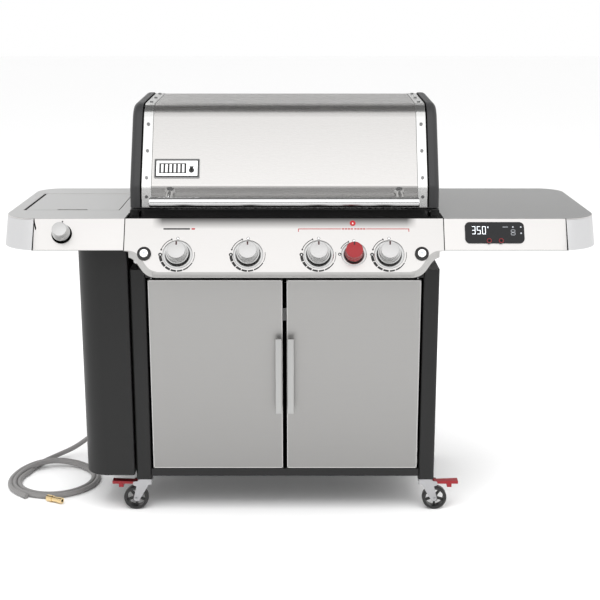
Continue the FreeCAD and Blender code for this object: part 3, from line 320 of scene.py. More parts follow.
class Finishes:
    """Every finish on the grill; each material is built once."""

    # Painted shadow of the lid handle: the panel's face darkens towards its upper edge.
    PANEL = Finish("panel brushed steel", "panel_steel", (0.705, 0.690, 0.678), 1.0, 0.34, ACROSS, 0.03,
                   painted_shade=PaintedShade(0.902, 0.927, 0.19, -0.43, 0.34, 0.03))
    # Painted shade: the panel's upright lower band is the same steel in a darker tone, as it faces away from the
    # light.
    PANEL_BAND_SHADE = Finish("panel edge band painted shade", "panel_steel", (0.47, 0.465, 0.455), 1.0, 0.40, ACROSS, 0.03)
    # Painted shade: the lid's lower front facet, below the kink height, darkens as if it reflected darker
    # surroundings.
    LID = Finish("lid brushed steel", "lid_steel", (0.675, 0.662, 0.650), 1.0, 0.27, ACROSS, 0.02,
                 painted_shade=PaintedShade(1.0115, 1.0085, 0.66, -2.0, 2.0))
    TRIM = Finish("trim steel", "trim_steel", (0.88, 0.88, 0.87), 1.0, 0.20, UP, 0.03)
    # Painted shade: the doors darken towards the bottom.
    DOOR = Finish("door brushed steel", "door_steel", (0.372, 0.367, 0.360), 1.0, 0.42, ACROSS, 0.04,
                  painted_shade=PaintedShade(0.700, 0.140, 0.76, -2.0, 2.0))
    # Painted highlight: the doors' folded edges in a lighter tone of the door steel.
    DOOR_HEM_HIGHLIGHT = Finish("door hem painted highlight", "door_steel", (0.50, 0.495, 0.485), 1.0, 0.40, ACROSS, 0.03)
    HANDLE_GREY = Finish("door handle grey", "handle_grey", (0.385, 0.385, 0.380), 0.8, 0.40, UP, 0.04)
    # Table tops and fascias are one steel in two tones: painted shade on the tops, painted light on the fascias.
    TABLE = Finish("table brushed steel", "table_steel", (0.600, 0.600, 0.595), 1.0, 0.36, ACROSS, 0.03)
    FASCIA_LIT = Finish("fascia brushed steel painted light", "table_steel", (0.775, 0.758, 0.745), 1.0, 0.38, ACROSS, 0.02)
    CAST_SILVER = Finish("cast silver", "cast_silver", (0.66, 0.66, 0.665), 0.85, 0.40, CAST, 0.03)
    # Painted shade: the end caps' top faces are the same cast silver in a darker tone.
    CAST_TOP_SHADE = Finish("cast silver top painted shade", "cast_silver", grey(0.58), 1.0, 0.40, CAST, 0.03)
    CHROME = Finish("polished chrome", "chrome", grey(0.86), 1.0, 0.14)
    # Painted shade: the lower half of the handle bar darkens, standing in for a dark reflection.
    LID_HANDLE = Finish("lid handle chrome", "chrome", grey(0.86), 1.0, 0.14,
                        painted_shade=PaintedShade(0.9750, 0.9705, 0.42, -2.0, 2.0))
    KNOB = Finish("knob satin silver", "knob_grey", (0.56, 0.56, 0.555), 1.0, 0.30)
    # Painted highlight: the knob's face is the knob's metal in a lighter tone.
    KNOB_FACE_LIT = Finish("knob face painted highlight", "knob_grey", (0.66, 0.655, 0.65), 1.0, 0.42)
    GROOVE = Finish("knob groove", "knob_grey", grey(0.10), 1.0, 0.40)
    KNOB_RED = Finish("red knob", "knob_red", (0.25, 0.009, 0.013), 0.25, 0.36, coat=0.2)
    BLACK = Finish("cart powder black", "cart_black", grey(0.006), 0.0, 0.45, POWDER, 0.20, shine=0.35)
    SCREEN = Finish("tank screen black", "screen_black", grey(0.006), 0.0, 0.45, POWDER, 0.20, shine=0.35)
    COOKBOX = Finish("cookbox enamel", "cookbox_black", grey(0.008), 0.0, 0.38, CAST, 0.30)
    CAP = Finish("lid cap grey", "cap_grey", (0.028, 0.028, 0.029), 0.0, 0.42, CAST, 0.08, shine=0.40)
    INNER = Finish("inner steel", "inner_steel", (0.42, 0.41, 0.39), 1.0, 0.42, ACROSS, 0.10)
    IRON = Finish("grate iron", "grate_iron", grey(0.028), 0.0, 0.55, CAST, 0.30)
    BURNER = Finish("burner black", "burner_black", grey(0.020), 0.0, 0.60, CAST, 0.25)
    ALUMINIUM = Finish("tray aluminium", "tray_aluminium", grey(0.60), 1.0, 0.45, POWDER, 0.05)
    PIPE = Finish("manifold aluminium", "manifold_aluminium", grey(0.60), 1.0, 0.40)
    SCREW = Finish("screw steel", "screw_steel", grey(0.24), 1.0, 0.16)
    BRASS = Finish("brass", "brass", (0.78, 0.60, 0.33), 1.0, 0.24)
    ZINC = Finish("zinc plate", "caster_zinc", (0.40, 0.40, 0.41), 1.0, 0.34, POWDER, 0.08)
    WHEEL = Finish("wheel black", "wheel_black", grey(0.010), 0.0, 0.42)
    BRAKE = Finish("brake red", "brake_red", (0.27, 0.008, 0.014), 0.0, 0.40, shine=0.4)
    GLASS = Finish("display glass", "display_black", (0.011, 0.011, 0.012), 0.0, 0.30, shine=0.26)
    INK = Finish("black print", "panel_steel", grey(0.012), 0.0, 0.55)
    INK_GREY = Finish("grey print", "panel_steel", grey(0.16), 0.0, 0.55)
    # Dark joints between parts, and painted shadow at the foot of the knobs.
    SEAM_AND_SHADOW = Finish("dark seam and painted shadow", "panel_steel", grey(0.004), 0.0, 0.80, shine=0.0)
    INK_WHITE = Finish("white print", "panel_steel", grey(0.86), 0.0, 0.45)
    INK_RED = Finish("red print", "panel_steel", (0.35, 0.004, 0.008), 0.0, 0.50)
    POINTER = Finish("knob pointer", "knob_grey", (0.035, 0.006, 0.008), 0.0, 0.45)
    BUTTON = Finish("button satin", "button_silver", grey(0.85), 0.2, 0.30)
    BUTTON_RING = Finish("button ring", "chrome", grey(0.055), 1.0, 0.25)
    KNOB_RING = Finish("knob ring", "chrome", (0.60, 0.60, 0.595), 1.0, 0.30)
    # Painted shade: dark lines along the fascias' lower edges and along the lid trims' inner edges.
    EDGE_SHADE = Finish("lower edge", "table_steel", (0.30, 0.30, 0.295), 1.0, 0.45)
    DIGIT = Finish("display digit", "display_black", (0.9, 0.95, 1.0), 0.0, 0.5, glow=(0.9, 0.96, 1.0),
                   glow_strength=0.75)
    KEY_MARK = Finish("display key mark", "display_black", (0.45, 0.47, 0.50), 0.0, 0.5)
    JACK = Finish("probe jack red", "display_black", (0.20, 0.006, 0.010), 0.0, 0.4)
    BADGE = Finish("badge face", BADGE_PLATE, grey(0.90), 0.0, 0.35, coat=0.3)
    BADGE_RIM = Finish("badge rim", BADGE_PLATE, grey(0.30), 1.0, 0.25)
    BADGE_INK = Finish("badge border", BADGE_PLATE, grey(0.02), 0.0, 0.4)

    _made: dict = {}

    @classmethod
    def material(cls, finish: Finish) -> Material:
        """The material of a finish, built on first use."""
        if finish.name not in cls._made:
            cls._made[finish.name] = finish.build()
        return cls._made[finish.name]


# ---- Modelling bench ----------------------------------------------------------------------------
class Bench:
    """Hand tools for making pieces."""

    @staticmethod
    def take(obj: Obj) -> None:
        """Select only this object and make it active."""
        for other in bpy.context.selected_objects:
            other.select_set(False)
        obj.select_set(True)
        bpy.context.view_layer.objects.active = obj

    @staticmethod
    def settle(obj: Obj, matrix: Optional[Matrix] = None) -> Obj:
        """Put an object's place into its mesh.

        Args:
            obj: The object.
            matrix: Where it goes; left out, it stays where it is.

        Returns:
            The same object, at the origin.
        """
        if matrix is not None:
            obj.matrix_world = matrix @ obj.matrix_basis
        Bench.take(obj)
        bpy.ops.object.transform_apply(location=True, rotation=True, scale=True)
        return obj

    @staticmethod
    def _named(name: str) -> Obj:
        """Name the primitive just added and settle it."""
        obj = bpy.context.active_object
        obj.name = obj.data.name = name
        return Bench.settle(obj)

    @staticmethod
    def block(name: str, low: Sequence[float], high: Sequence[float]) -> Obj:
        """Box between two corners."""
        low, high = Vector(low), Vector(high)
        bpy.ops.mesh.primitive_cube_add(size=1.0, location=(low + high) / 2, scale=high - low)
        return Bench._named(name)

    @staticmethod
    def rod(name: str, start: Sequence[float], end: Sequence[float], radius: float, sides: int) -> Obj:
        """Cylinder between two points, or a prism where it has few sides."""
        start, end = Vector(start), Vector(end)
        turn = (end - start).to_track_quat("Z", "Y").to_euler()
        bpy.ops.mesh.primitive_cone_add(vertices=sides, radius1=radius, radius2=radius, depth=(end - start).length,
                                        location=(start + end) / 2, rotation=turn)
        return Bench._named(name)

    @staticmethod
    def ring(name: str, centre: Point, major: float, minor: float) -> Obj:
        """Torus about Z."""
        bpy.ops.mesh.primitive_torus_add(major_radius=major, minor_radius=minor, major_segments=56, minor_segments=14,
                                         location=centre)
        return Bench._named(name)

    @staticmethod
    def link(name: str, data: bpy.types.ID) -> Obj:
        """New object in the scene."""
        obj = bpy.data.objects.new(name, data)
        bpy.context.collection.objects.link(obj)
        return obj

    @staticmethod
    def curve(name: str, kind: str, points: Sequence[Point], **settings: object) -> Obj:
        """Curve with one spline.

        Args:
            name: The curve's name.
            kind: The spline's type.
            points: Its points.
            settings: Properties of the curve.

        Returns:
            The new object.
        """
        data = bpy.data.curves.new(name, "CURVE")
        for key, value in settings.items():
            setattr(data, key, value)
        spline = data.splines.new(kind)
        spline.points.add(len(points) - 1)
        for point, place in zip(spline.points, points):
            point.co = (*place, 1.0)
        return Bench.link(name, data)

    @staticmethod
    def meshed(obj: Obj) -> Obj:
        """Turn a curve into a mesh of the same name."""
        name = obj.name
        Bench.take(obj)
        bpy.ops.object.convert(target="MESH")
        obj = bpy.context.active_object
        obj.name = obj.data.name = name
        return obj

    @staticmethod
    def modify(obj: Obj, kind: str, **settings: object) -> Obj:
        """Add a modifier, set it and apply it."""
        Bench.take(obj)
        made = obj.modifiers.new(kind.lower(), kind)
        for key, value in settings.items():
            setattr(made, key, value)
        bpy.ops.object.modifier_apply(modifier=made.name)
        return obj

    @staticmethod
    def bevel(obj: Obj, width: float, segments: int = 2, angle: float = 32.0) -> Obj:
        """Round every sharp edge."""
        return Bench.modify(obj, "BEVEL", width=width, segments=segments, limit_method="ANGLE",
                            angle_limit=math.radians(angle), use_clamp_overlap=True)

    @staticmethod
    def smooth(obj: Obj, angle: float = 38.0) -> Obj:
        """Shade smooth where faces meet at less than angle degrees."""
        Bench.take(obj)
        bpy.ops.object.shade_smooth_by_angle(angle=math.radians(angle))
        return obj

    @staticmethod
    def select(obj: Obj, chosen: Test) -> int:
        """Enter edit mode with only the chosen faces selected.

        Args:
            obj: The object.
            chosen: Says whether a face is wanted, from its centre and normal.

        Returns:
            How many faces are selected.
        """
        Bench.take(obj)
        bpy.ops.object.mode_set(mode="EDIT")
        bpy.ops.mesh.select_mode(type="FACE")
        bpy.ops.mesh.select_all(action="DESELECT")
        bpy.ops.object.mode_set(mode="OBJECT")
        wanted = [face for face in obj.data.polygons if chosen(face)]
        for face in wanted:
            face.select = True
        bpy.ops.object.mode_set(mode="EDIT")
        return len(wanted)

    @staticmethod
    def done() -> None:
        """Leave edit mode."""
        bpy.ops.object.mode_set(mode="OBJECT")

    @staticmethod
    def drop(obj: Obj, chosen: Test) -> Obj:
        """Delete the chosen faces."""
        if Bench.select(obj, chosen):
            bpy.ops.mesh.delete(type="FACE")
        Bench.done()
        return obj

    @staticmethod
    def turn_out() -> None:
        """Point every face outwards and leave edit mode."""
        bpy.ops.mesh.select_all(action="SELECT")
        bpy.ops.mesh.normals_make_consistent(inside=False)
        Bench.done()

    @staticmethod
    def raise_all(obj: Obj, height: float) -> Obj:
        """Give a flat mesh in the XY plane a height."""
        Bench.select(obj, lambda face: True)
        bpy.ops.mesh.extrude_region_move(TRANSFORM_OT_translate={"value": (0.0, 0.0, height)})
        Bench.turn_out()
        return obj

    @staticmethod
    def join(pieces: Sequence[Obj], name: str) -> Obj:
        """Join pieces into one object."""
        Bench.take(pieces[0])
        for piece in pieces[1:]:
            piece.select_set(True)
        bpy.ops.object.join()
        pieces[0].name = pieces[0].data.name = name
        return pieces[0]

    @staticmethod
    def turned(name: str, profile: Sequence[tuple[float, float]]) -> Obj:
        """Solid of revolution about Z.

        Args:
            name: The piece's name.
            profile: Radius and height of each step, from the axis at the foot to the axis at the top.

        Returns:
            The new object.
        """
        radius, height = profile[1]
        bpy.ops.mesh.primitive_circle_add(vertices=64, radius=radius, fill_type="NGON", location=(0.0, 0.0, height))
        obj = Bench._named(name)
        Bench.select(obj, lambda face: True)
        for (before, low), (after, high) in zip(profile[1:], profile[2:]):
            if after <= 0.0:
                break
            bpy.ops.mesh.extrude_region_move(TRANSFORM_OT_translate={"value": (0.0, 0.0, high - low)})
            share = after / before
            bpy.ops.transform.resize(value=(share, share, 1.0), center_override=(0.0, 0.0, high))
        Bench.turn_out()
        return obj

    @staticmethod
    def arc_band(name: str, inner: float, outer: float, start: float = 0.0, end: float = 360.0) -> Obj:
        """Flat band round Z between two angles, in degrees counter-clockwise from +X."""
        bpy.ops.mesh.primitive_circle_add(vertices=120, radius=inner, fill_type="NOTHING")
        obj = Bench._named(name)
        Bench.take(obj)
        bpy.ops.object.mode_set(mode="EDIT")
        bpy.ops.mesh.select_mode(type="VERT")
        bpy.ops.mesh.select_all(action="SELECT")
        bpy.ops.mesh.extrude_region_move(TRANSFORM_OT_translate={"value": (0.0, 0.0, 0.0)})
        bpy.ops.transform.resize(value=(outer / inner,) * 3, center_override=(0.0, 0.0, 0.0))
        Bench.done()

        def outside(face: Face) -> bool:
            """Whether the face's bearing lies outside the band."""
            bearing = math.degrees(math.atan2(face.center.y, face.center.x))
            return (bearing - start) % 360.0 > (end - start)

        Bench.drop(obj, outside)
        return Bench.raise_all(obj, 0.0002)


class Maker:
    """Dresses pieces and puts them on the frame's bodies."""

    BODY_OF = {node: body for body, nodes in frame["record"]["behaviour"]["bodies"].items() for node in nodes}

    @classmethod
    def dress(cls, obj: Obj, finish: Finish, node: str, stands_for: Sequence[str] = ()) -> Obj:
        """Give a piece its finish and let it ride.

        Args:
            obj: The finished piece.
            finish: Its finish.
            node: A CAD node on the body that it rides on.
            stands_for: CAD nodes that it replaces.

        Returns:
            The piece.
        """
        obj.data.materials.clear()
        obj.data.materials.append(Finishes.material(finish))
        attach(obj, cls.BODY_OF[node])
        if stands_for:
            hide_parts(*stands_for)
        LOG.info("piece %-28s on %-18s %s", obj.name, cls.BODY_OF[node], finish.name)
        return obj

    @classmethod
    def seat(cls, obj: Obj, place: Matrix, finish: Finish, node: str = PANEL) -> Obj:
        """Put a piece in its place and dress it."""
        return cls.dress(Bench.settle(obj, place), finish, node)

    @classmethod
    def refined(cls, node: str, finish: Finish, bevel: float, segments: int, name: Optional[str],
                keep: Optional[Test]) -> Obj:
        """Copy of a CAD node with clean faces and rounded edges, which replaces it.

        Args:
            node: The CAD node.
            finish: The piece's finish.
            bevel: Radius of its edges; 0 leaves them sharp.
            segments: Facets of a rounded edge.
            name: The piece's name; None takes the node's.
            keep: Says which faces stay; None keeps all.

        Returns:
            The new piece.
        """
        obj = Bench.link(name or node + "_finished", frame["nodes"][node].data.copy())
        Bench.select(obj, lambda face: True)
        bpy.ops.mesh.remove_doubles(threshold=0.000005)
        bpy.ops.mesh.dissolve_limited(angle_limit=math.radians(0.05))
        Bench.done()
        if bevel:
            Bench.bevel(obj, bevel, segments)
        Bench.smooth(obj)
        Bench.modify(obj, "WEIGHTED_NORMAL", keep_sharp=True, weight=100)
        if keep:
            Bench.drop(obj, lambda face: not keep(face))
        return cls.dress(obj, finish, node, (node,))


# ---- Control face -------------------------------------------------------------------------------
@dataclass
class Fascia:
    """The sloping plane that carries the controls, the display and the prints."""

    lean: float = math.radians(31.0)
    origin: Vector = field(default_factory=lambda: Vector(
        (0.0, *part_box(PANEL)[1].yz)))

    def matrix(self, x: float, slant: float, lift: float = 0.0) -> Matrix:
        """Frame at a place on the slope: X right, Y up the slope, Z outwards.

        Args:
            x: Place along the grill.
            slant: Distance down the slope from its top edge.
            lift: Height above the surface.

        Returns:
            The frame's matrix.
        """
        turn = Matrix.Rotation(math.pi / 2 - self.lean, 4, "X")
        local = turn @ Matrix.Translation((0.0, -slant, lift))
        return Matrix.Translation((x, self.origin.y, self.origin.z)) @ local

    def place_of(self, node: str) -> tuple[float, float]:
        """X and slope distance of a turned part's axis."""
        low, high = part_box(node)
        middle = (low + high) / 2
        offset = middle - self.origin
        return middle.x, -(offset.y * math.sin(self.lean) + offset.z * math.cos(self.lean))

    def at(self, node: str, lift: float = 0.0) -> Matrix:
        """Frame on a turned part's axis."""
        return self.matrix(*self.place_of(node), lift)


FACE = Fascia()
LID_KINK = (-0.1454, 1.0095)
LID_FACE = Fascia(math.radians(29.45), Vector((0.0, *LID_KINK)))
FLUSH, OVER = 0.0001, 0.0002  # how far prints lie above the face, and marks above prints
SHARP, SOFT = 0.0, 0.0007  # bevels


# ---- Prints and small marks ---------------------------------------------------------------------
class Mark:
    """Thin shapes laid on a sloping face; places are metres from the middle of a face's frame."""

    THICK = 0.00022

    @classmethod
    def bar(cls, name: str, x: float, y: float, width: float, height: float) -> Obj:
        """Flat bar round a centre."""
        return Bench.block(name, (x - width / 2, y - height / 2, 0.0), (x + width / 2, y + height / 2, cls.THICK))

    @classmethod
    def disc(cls, name: str, x: float, y: float, radius: float, sides: int = 32) -> Obj:
        """Flat disc, or a triangle where sides is 3."""
        return Bench.rod(name, (x, y, 0.0), (x, y, cls.THICK), radius, sides)

    @classmethod
    def arrow(cls, name: str, bearing: float, radius: float, size: float, turn: float) -> Obj:
        """Arrow head on a circle.

        Args:
            name: The piece's name.
            bearing: Its place on the circle, in degrees counter-clockwise from +X.
            radius: The circle's radius.
            size: The triangle's radius.
            turn: 90 where it points on round the circle and -90 where it points back.

        Returns:
            The new object.
        """
        head = cls.disc(name, 0.0, 0.0, size, 3)
        angle = math.radians(bearing)
        place = Matrix.Translation((radius * math.cos(angle), radius * math.sin(angle), 0.0))
        return Bench.settle(head, place @ Matrix.Rotation(math.radians(bearing + turn - 90.0), 4, "Z"))

    @classmethod
    def drop(cls, name: str, x: float, y: float, size: float) -> Obj:
        """Flame: a disc under a tall triangle."""
        low = cls.disc(name, x, y - size * 0.3, size * 0.55)
        high = cls.disc(name + "_tip", 0.0, 0.0, size * 0.62, 3)
        high.scale = (0.85, 1.5, 1.0)
        high.location = (x, y + size * 0.1, 0.0)
        Bench.settle(high)
        return Bench.join([low, high], name)

    @staticmethod
    def lay(shapes: Sequence[Obj], name: str, matrix: Matrix, finish: Finish, node: str = PANEL) -> Obj:
        """Join shapes, put them in place and dress them.

        Args:
            shapes: Shapes in the face's frame.
            name: The piece's name.
            matrix: The frame.
            finish: The piece's finish.
            node: The CAD node that it rides with.

        Returns:
            The piece.
        """
        return Maker.seat(Bench.join(shapes, name), matrix, finish, node)


@dataclass(frozen=True)
class Dial:
    """Printed flame scale round a burner knob."""

    node: str
    ring: float = 0.0495

    def build(self) -> None:
        """Lay the scale on the panel."""
        place, lifted = FACE.at(self.node, FLUSH), FACE.at(self.node, OVER)
        name, ring = self.node + "_dial", self.ring
        black = [Bench.arc_band(name, ring - 0.0010, ring + 0.0010, 114.0, 162.0),
                 Mark.arrow(name, 111.0, ring, 0.0042, -90.0), Mark.disc(name, ring * -0.951, ring * 0.309, 0.0026),
                 Mark.disc(name, -ring, 0.0, 0.0056),
                 Bench.arc_band(name, ring - 0.0007, ring + 0.0007, 333.0, 369.0)]
        for i in range(7):
            half = 0.0041 - 0.00045 * i
            start = 187.5 + 20.5 * i
            black.append(Bench.arc_band(name, ring - half, ring + half, start, start + 18.0))
        Mark.lay(black, name, place, Finishes.INK)
        Mark.lay([Mark.disc(name, 0.0, ring, 0.0045)], name + "_rim", place, Finishes.INK_GREY)
        white = [Mark.disc(name, 0.0, ring, 0.0029), Mark.drop(name, -ring, 0.0, 0.0030)]
        Mark.lay(white, name + "_light", lifted, Finishes.INK_WHITE)


class Controls:
    """Knob faces, pointers, button rings and every print on the control panel."""

    TOP = 0.040  # height of a knob's face above the panel
    UP = 0.032  # slant of the row of prints over the knobs

    @classmethod
    def build(cls) -> None:
        """Add everything."""
        for node in ("burner_knob_1", "burner_knob_2", "burner_knob_3", "burner_knob_4"):
            Dial(node).build()
            cls._base(node, 0.0330)
            # The lighter knob faces are painted highlights.
            cls._face(node, 0.0236, Finishes.KNOB_FACE_LIT)
            cls._pointer(node, 0.0262)
        # Painted highlight on the side burner knob's face.
        cls._face("side_burner_knob", 0.0193, Finishes.KNOB_FACE_LIT)
        cls._face("sear_knob", 0.0226, Finishes.KNOB_RED)
        cls._base("sear_knob", 0.0260)
        cls._base("side_burner_knob", 0.0260, LEFT_TABLE)
        cls._pointer("sear_knob", 0.0246)
        cls._side_mark()
        cls._sear_marks()
        cls._name_mark()
        for node in ("ignition_button", "light_button"):
            cls._button(node)

    @classmethod
    def _face(cls, node: str, radius: float, finish: Finish) -> None:
        """Slightly dished disc on a knob's face."""
        top = cls.TOP
        disc = Bench.turned(node + "_face", [(0.0, top - 0.0005), (radius, top - 0.0005), (radius, top),
                                             (radius - 0.0008, top + 0.0002), (0.0, top + 0.0002)])
        Bench.smooth(disc, 30.0)
        Maker.seat(disc, FACE.at(node), finish, node)
        groove = Bench.arc_band(node + "_groove", radius, radius + 0.0009)
        Maker.seat(groove, FACE.at(node, top - 0.0003), Finishes.GROOVE, node)

    @staticmethod
    def _base(node: str, radius: float, carrier: str = PANEL) -> None:
        """Black foot ring round a knob's skirt, partly the black bezel and partly painted shadow under the knob, with
        a pale outer ring where it sits on the panel.
        """
        place, wide, rim = FACE.at(node), radius + 0.0035, radius + 0.0110
        black = Bench.turned(node + "_foot", [(radius - 0.009, 0.0001), (wide, 0.0001), (wide, 0.0016),
                                              (radius - 0.009, 0.0016)])
        # Black bezel and painted shadow under the knob.
        Maker.seat(black, place, Finishes.SEAM_AND_SHADOW, carrier)
        if carrier != PANEL:
            return
        pale = Bench.turned(node + "_rim", [(wide, 0.0001), (rim, 0.0001), (rim - 0.0010, 0.0012),
                                            (wide + 0.0012, 0.0024), (wide, 0.0018)])
        Bench.smooth(pale, 50.0)
        Maker.seat(pale, place, Finishes.KNOB_RING)

    @classmethod
    def _pointer(cls, node: str, radius: float) -> None:
        """Short bar across the upper edge of a knob's face."""
        bar = Bench.block(node + "_pointer", (-0.0026, radius - 0.0105, cls.TOP - 0.001),
                          (0.0026, radius + 0.0004, cls.TOP + 0.0003))
        Bench.bevel(bar, 0.0008)
        Maker.seat(Bench.smooth(bar), FACE.at(node), Finishes.POINTER, node)

    @staticmethod
    def _side_mark() -> None:
        """Small mark above the side burner's knob."""
        shapes = [Mark.disc("spot", 0.0, 0.0385, 0.0022), Mark.bar("stem", 0.0, 0.0345, 0.0012, 0.004)]
        Mark.lay(shapes, "side_knob_mark", FACE.at("side_burner_knob", FLUSH), Finishes.INK, LEFT_TABLE)

    @staticmethod
    def _name_mark() -> None:
        """Plain black and red bars above the first knob."""
        slant = FACE.place_of("sear_knob")[1]
        place = FACE.matrix(-0.349, slant, FLUSH)
        for name, x, width, ink in (("name_bar", -0.0085, 0.077, Finishes.INK),
                                    ("name_bar_end", 0.0395, 0.010, Finishes.INK_RED)):
            Mark.lay([Mark.bar("bar", x, slant - Controls.UP, width, 0.0042)], name, place, ink)

    @staticmethod
    def _sear_marks() -> None:
        """Bracket, flame and short scale that belong to the red knob."""
        slant = FACE.place_of("sear_knob")[1]
        place, lifted = FACE.at("sear_knob", FLUSH), FACE.at("sear_knob", OVER)
        up, half, ring = slant - Controls.UP, 0.160, 0.041
        red = [Mark.bar("line", side * (half / 2 + 0.018), up, half - 0.036, 0.0021) for side in (-1, 1)]
        red += [Mark.bar("tick", side * half, up - 0.004, 0.0021, 0.0095) for side in (-1, 1)]
        red += [Mark.bar("dash", 0.0085 * i, up, 0.0064, 0.0036)
                for i in (-3.6, -2.6, -1.6, -0.6, 0.6, 1.6, 2.6, 3.6)]
        red.append(Mark.disc("spot", -0.0025, slant - 0.0146, 0.0085))
        Mark.lay(red, "sear_bracket", place, Finishes.INK_RED)
        black = [Bench.arc_band("lead", ring - 0.0010, ring + 0.0010, 116.0, 156.0),
                 Mark.arrow("head", 113.0, ring, 0.0040, -90.0), Mark.disc("dot", -ring, 0.0, 0.0046),
                 Mark.disc("rim", 0.0, ring, 0.0042)]
        Mark.lay(black, "sear_scale", place, Finishes.INK)
        white = [Mark.drop("flame", -0.0025, slant - 0.0146, 0.0032), Mark.drop("flame", -ring, 0.0, 0.0028),
                 Mark.disc("light", 0.0, ring, 0.0031)]
        Mark.lay(white, "sear_flames", lifted, Finishes.INK_WHITE)

    @staticmethod
    def _button(node: str) -> None:
        """Two dark rings round a push button, with a small mark on its cap."""
        rings = [Bench.ring(node, (0.0, 0.0, height), major, minor)
                 for height, major, minor in ((0.0044, 0.0192, 0.0008), (0.0048, 0.0137, 0.0012))]
        Maker.seat(Bench.smooth(Bench.join(rings, node + "_ring")), FACE.at(node), Finishes.BUTTON_RING)
        Maker.seat(Mark.disc(node + "_mark", 0.0, 0.0, 0.0040), FACE.at(node, 0.0099), Finishes.KEY_MARK, node)


class Display:
    """What the display shows, and its two probe sockets."""

    @staticmethod
    def build() -> None:
        """Add the figures, keys and socket rings."""
        low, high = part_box(DISPLAY)
        tall = 0.0647
        glass = FACE.matrix((low.x + high.x) / 2, 0.0118 + tall / 2, 0.0041)
        Mark.lay(Display.figures(-0.0655, 0.0065), "display_figures", glass, Finishes.DIGIT, DISPLAY)
        keys = [Mark.bar("label", 0.031, 0.0165, 0.015, 0.0012)]
        for column, row in ((0.053, 0.0165), (0.076, 0.0165), (0.076, -0.0025)):
            keys += [Mark.disc("dot", column, row, 0.0022)]
        for row in (0.0045, -0.0045):
            keys += [Mark.bar("key", 0.053 + side * 0.0055, row, 0.0010, 0.007) for side in (-1, 1)]
            keys += [Mark.bar("key", 0.053, row + side * 0.0035, 0.008, 0.0010) for side in (-1, 1)]
        Mark.lay(keys, "display_keys", glass, Finishes.KEY_MARK, DISPLAY)
        for side, name in ((-1, "left"), (1, "right")):
            ring = Bench.ring("probe_ring_" + name, (side * 0.0174, 0.0065 - tall / 2, 0.0016), 0.0062, 0.0011)
            Maker.seat(Bench.smooth(ring), glass, Finishes.JACK, DISPLAY)

    @staticmethod
    def figures(left: float, middle: float) -> list[Obj]:
        """Three seven-segment figures and a degree ring.

        Args:
            left: X of the first figure's left edge.
            middle: Y of the figures' middle.

        Returns:
            The segments.
        """
        wide, tall, pitch, stroke = 0.0088, 0.0225, 0.0150, 0.0013
        places = {"top": (0.0, tall / 2), "mid": (0.0, 0.0), "low": (0.0, -tall / 2),
                  "tl": (-wide / 2, tall / 4), "tr": (wide / 2, tall / 4),
                  "bl": (-wide / 2, -tall / 4), "br": (wide / 2, -tall / 4)}
        lit = (("top", "mid", "low", "tr", "br"), ("top", "mid", "low", "tl", "br"),
               ("top", "low", "tl", "tr", "bl", "br"))
        shapes = []
        for i, names in enumerate(lit):
            x = left + wide / 2 + pitch * i
            for name in names:
                dx, dy = places[name]
                size = (wide, stroke) if dx == 0.0 else (stroke, tall / 2)
                shapes.append(Mark.bar("segment", x + dx, middle + dy, *size))
        degree = Bench.arc_band("degree", 0.0012, 0.0020)
        Bench.settle(degree, Matrix.Translation((left + pitch * 3 + 0.0010, middle + tall / 2 - 0.002, 0.0)))
        return shapes + [degree]


class Badge:
    """Blank face of the badge: a dark border, a white field and a small flame."""

    @staticmethod
    def build() -> None:
        """Lay the face on the badge plate."""
        marks = [Mark.drop("flame", 0.0435, -0.002, 0.0150)]
        marks += [Mark.bar("bar", -0.050 + 0.0125 * i, 0.0, 0.0060, 0.028) for i in range(7)]
        marks += [Mark.bar("rail", -0.0125, side * 0.0145, 0.0815, 0.0032) for side in (-1, 1)]
        for shapes, name, lift, ink in (
                ([Mark.bar("border", 0.0, 0.0, 0.1310, 0.0560)], "badge_border", 0.0030, Finishes.BADGE_INK),
                ([Mark.bar("field", 0.0, 0.0, 0.1225, 0.0475)], "badge_field", 0.00315, Finishes.BADGE),
                (marks, "badge_marks", 0.0033, Finishes.BADGE_INK)):
            Mark.lay(shapes, name, LID_FACE.at(BADGE_PLATE, lift), ink, BADGE_PLATE)


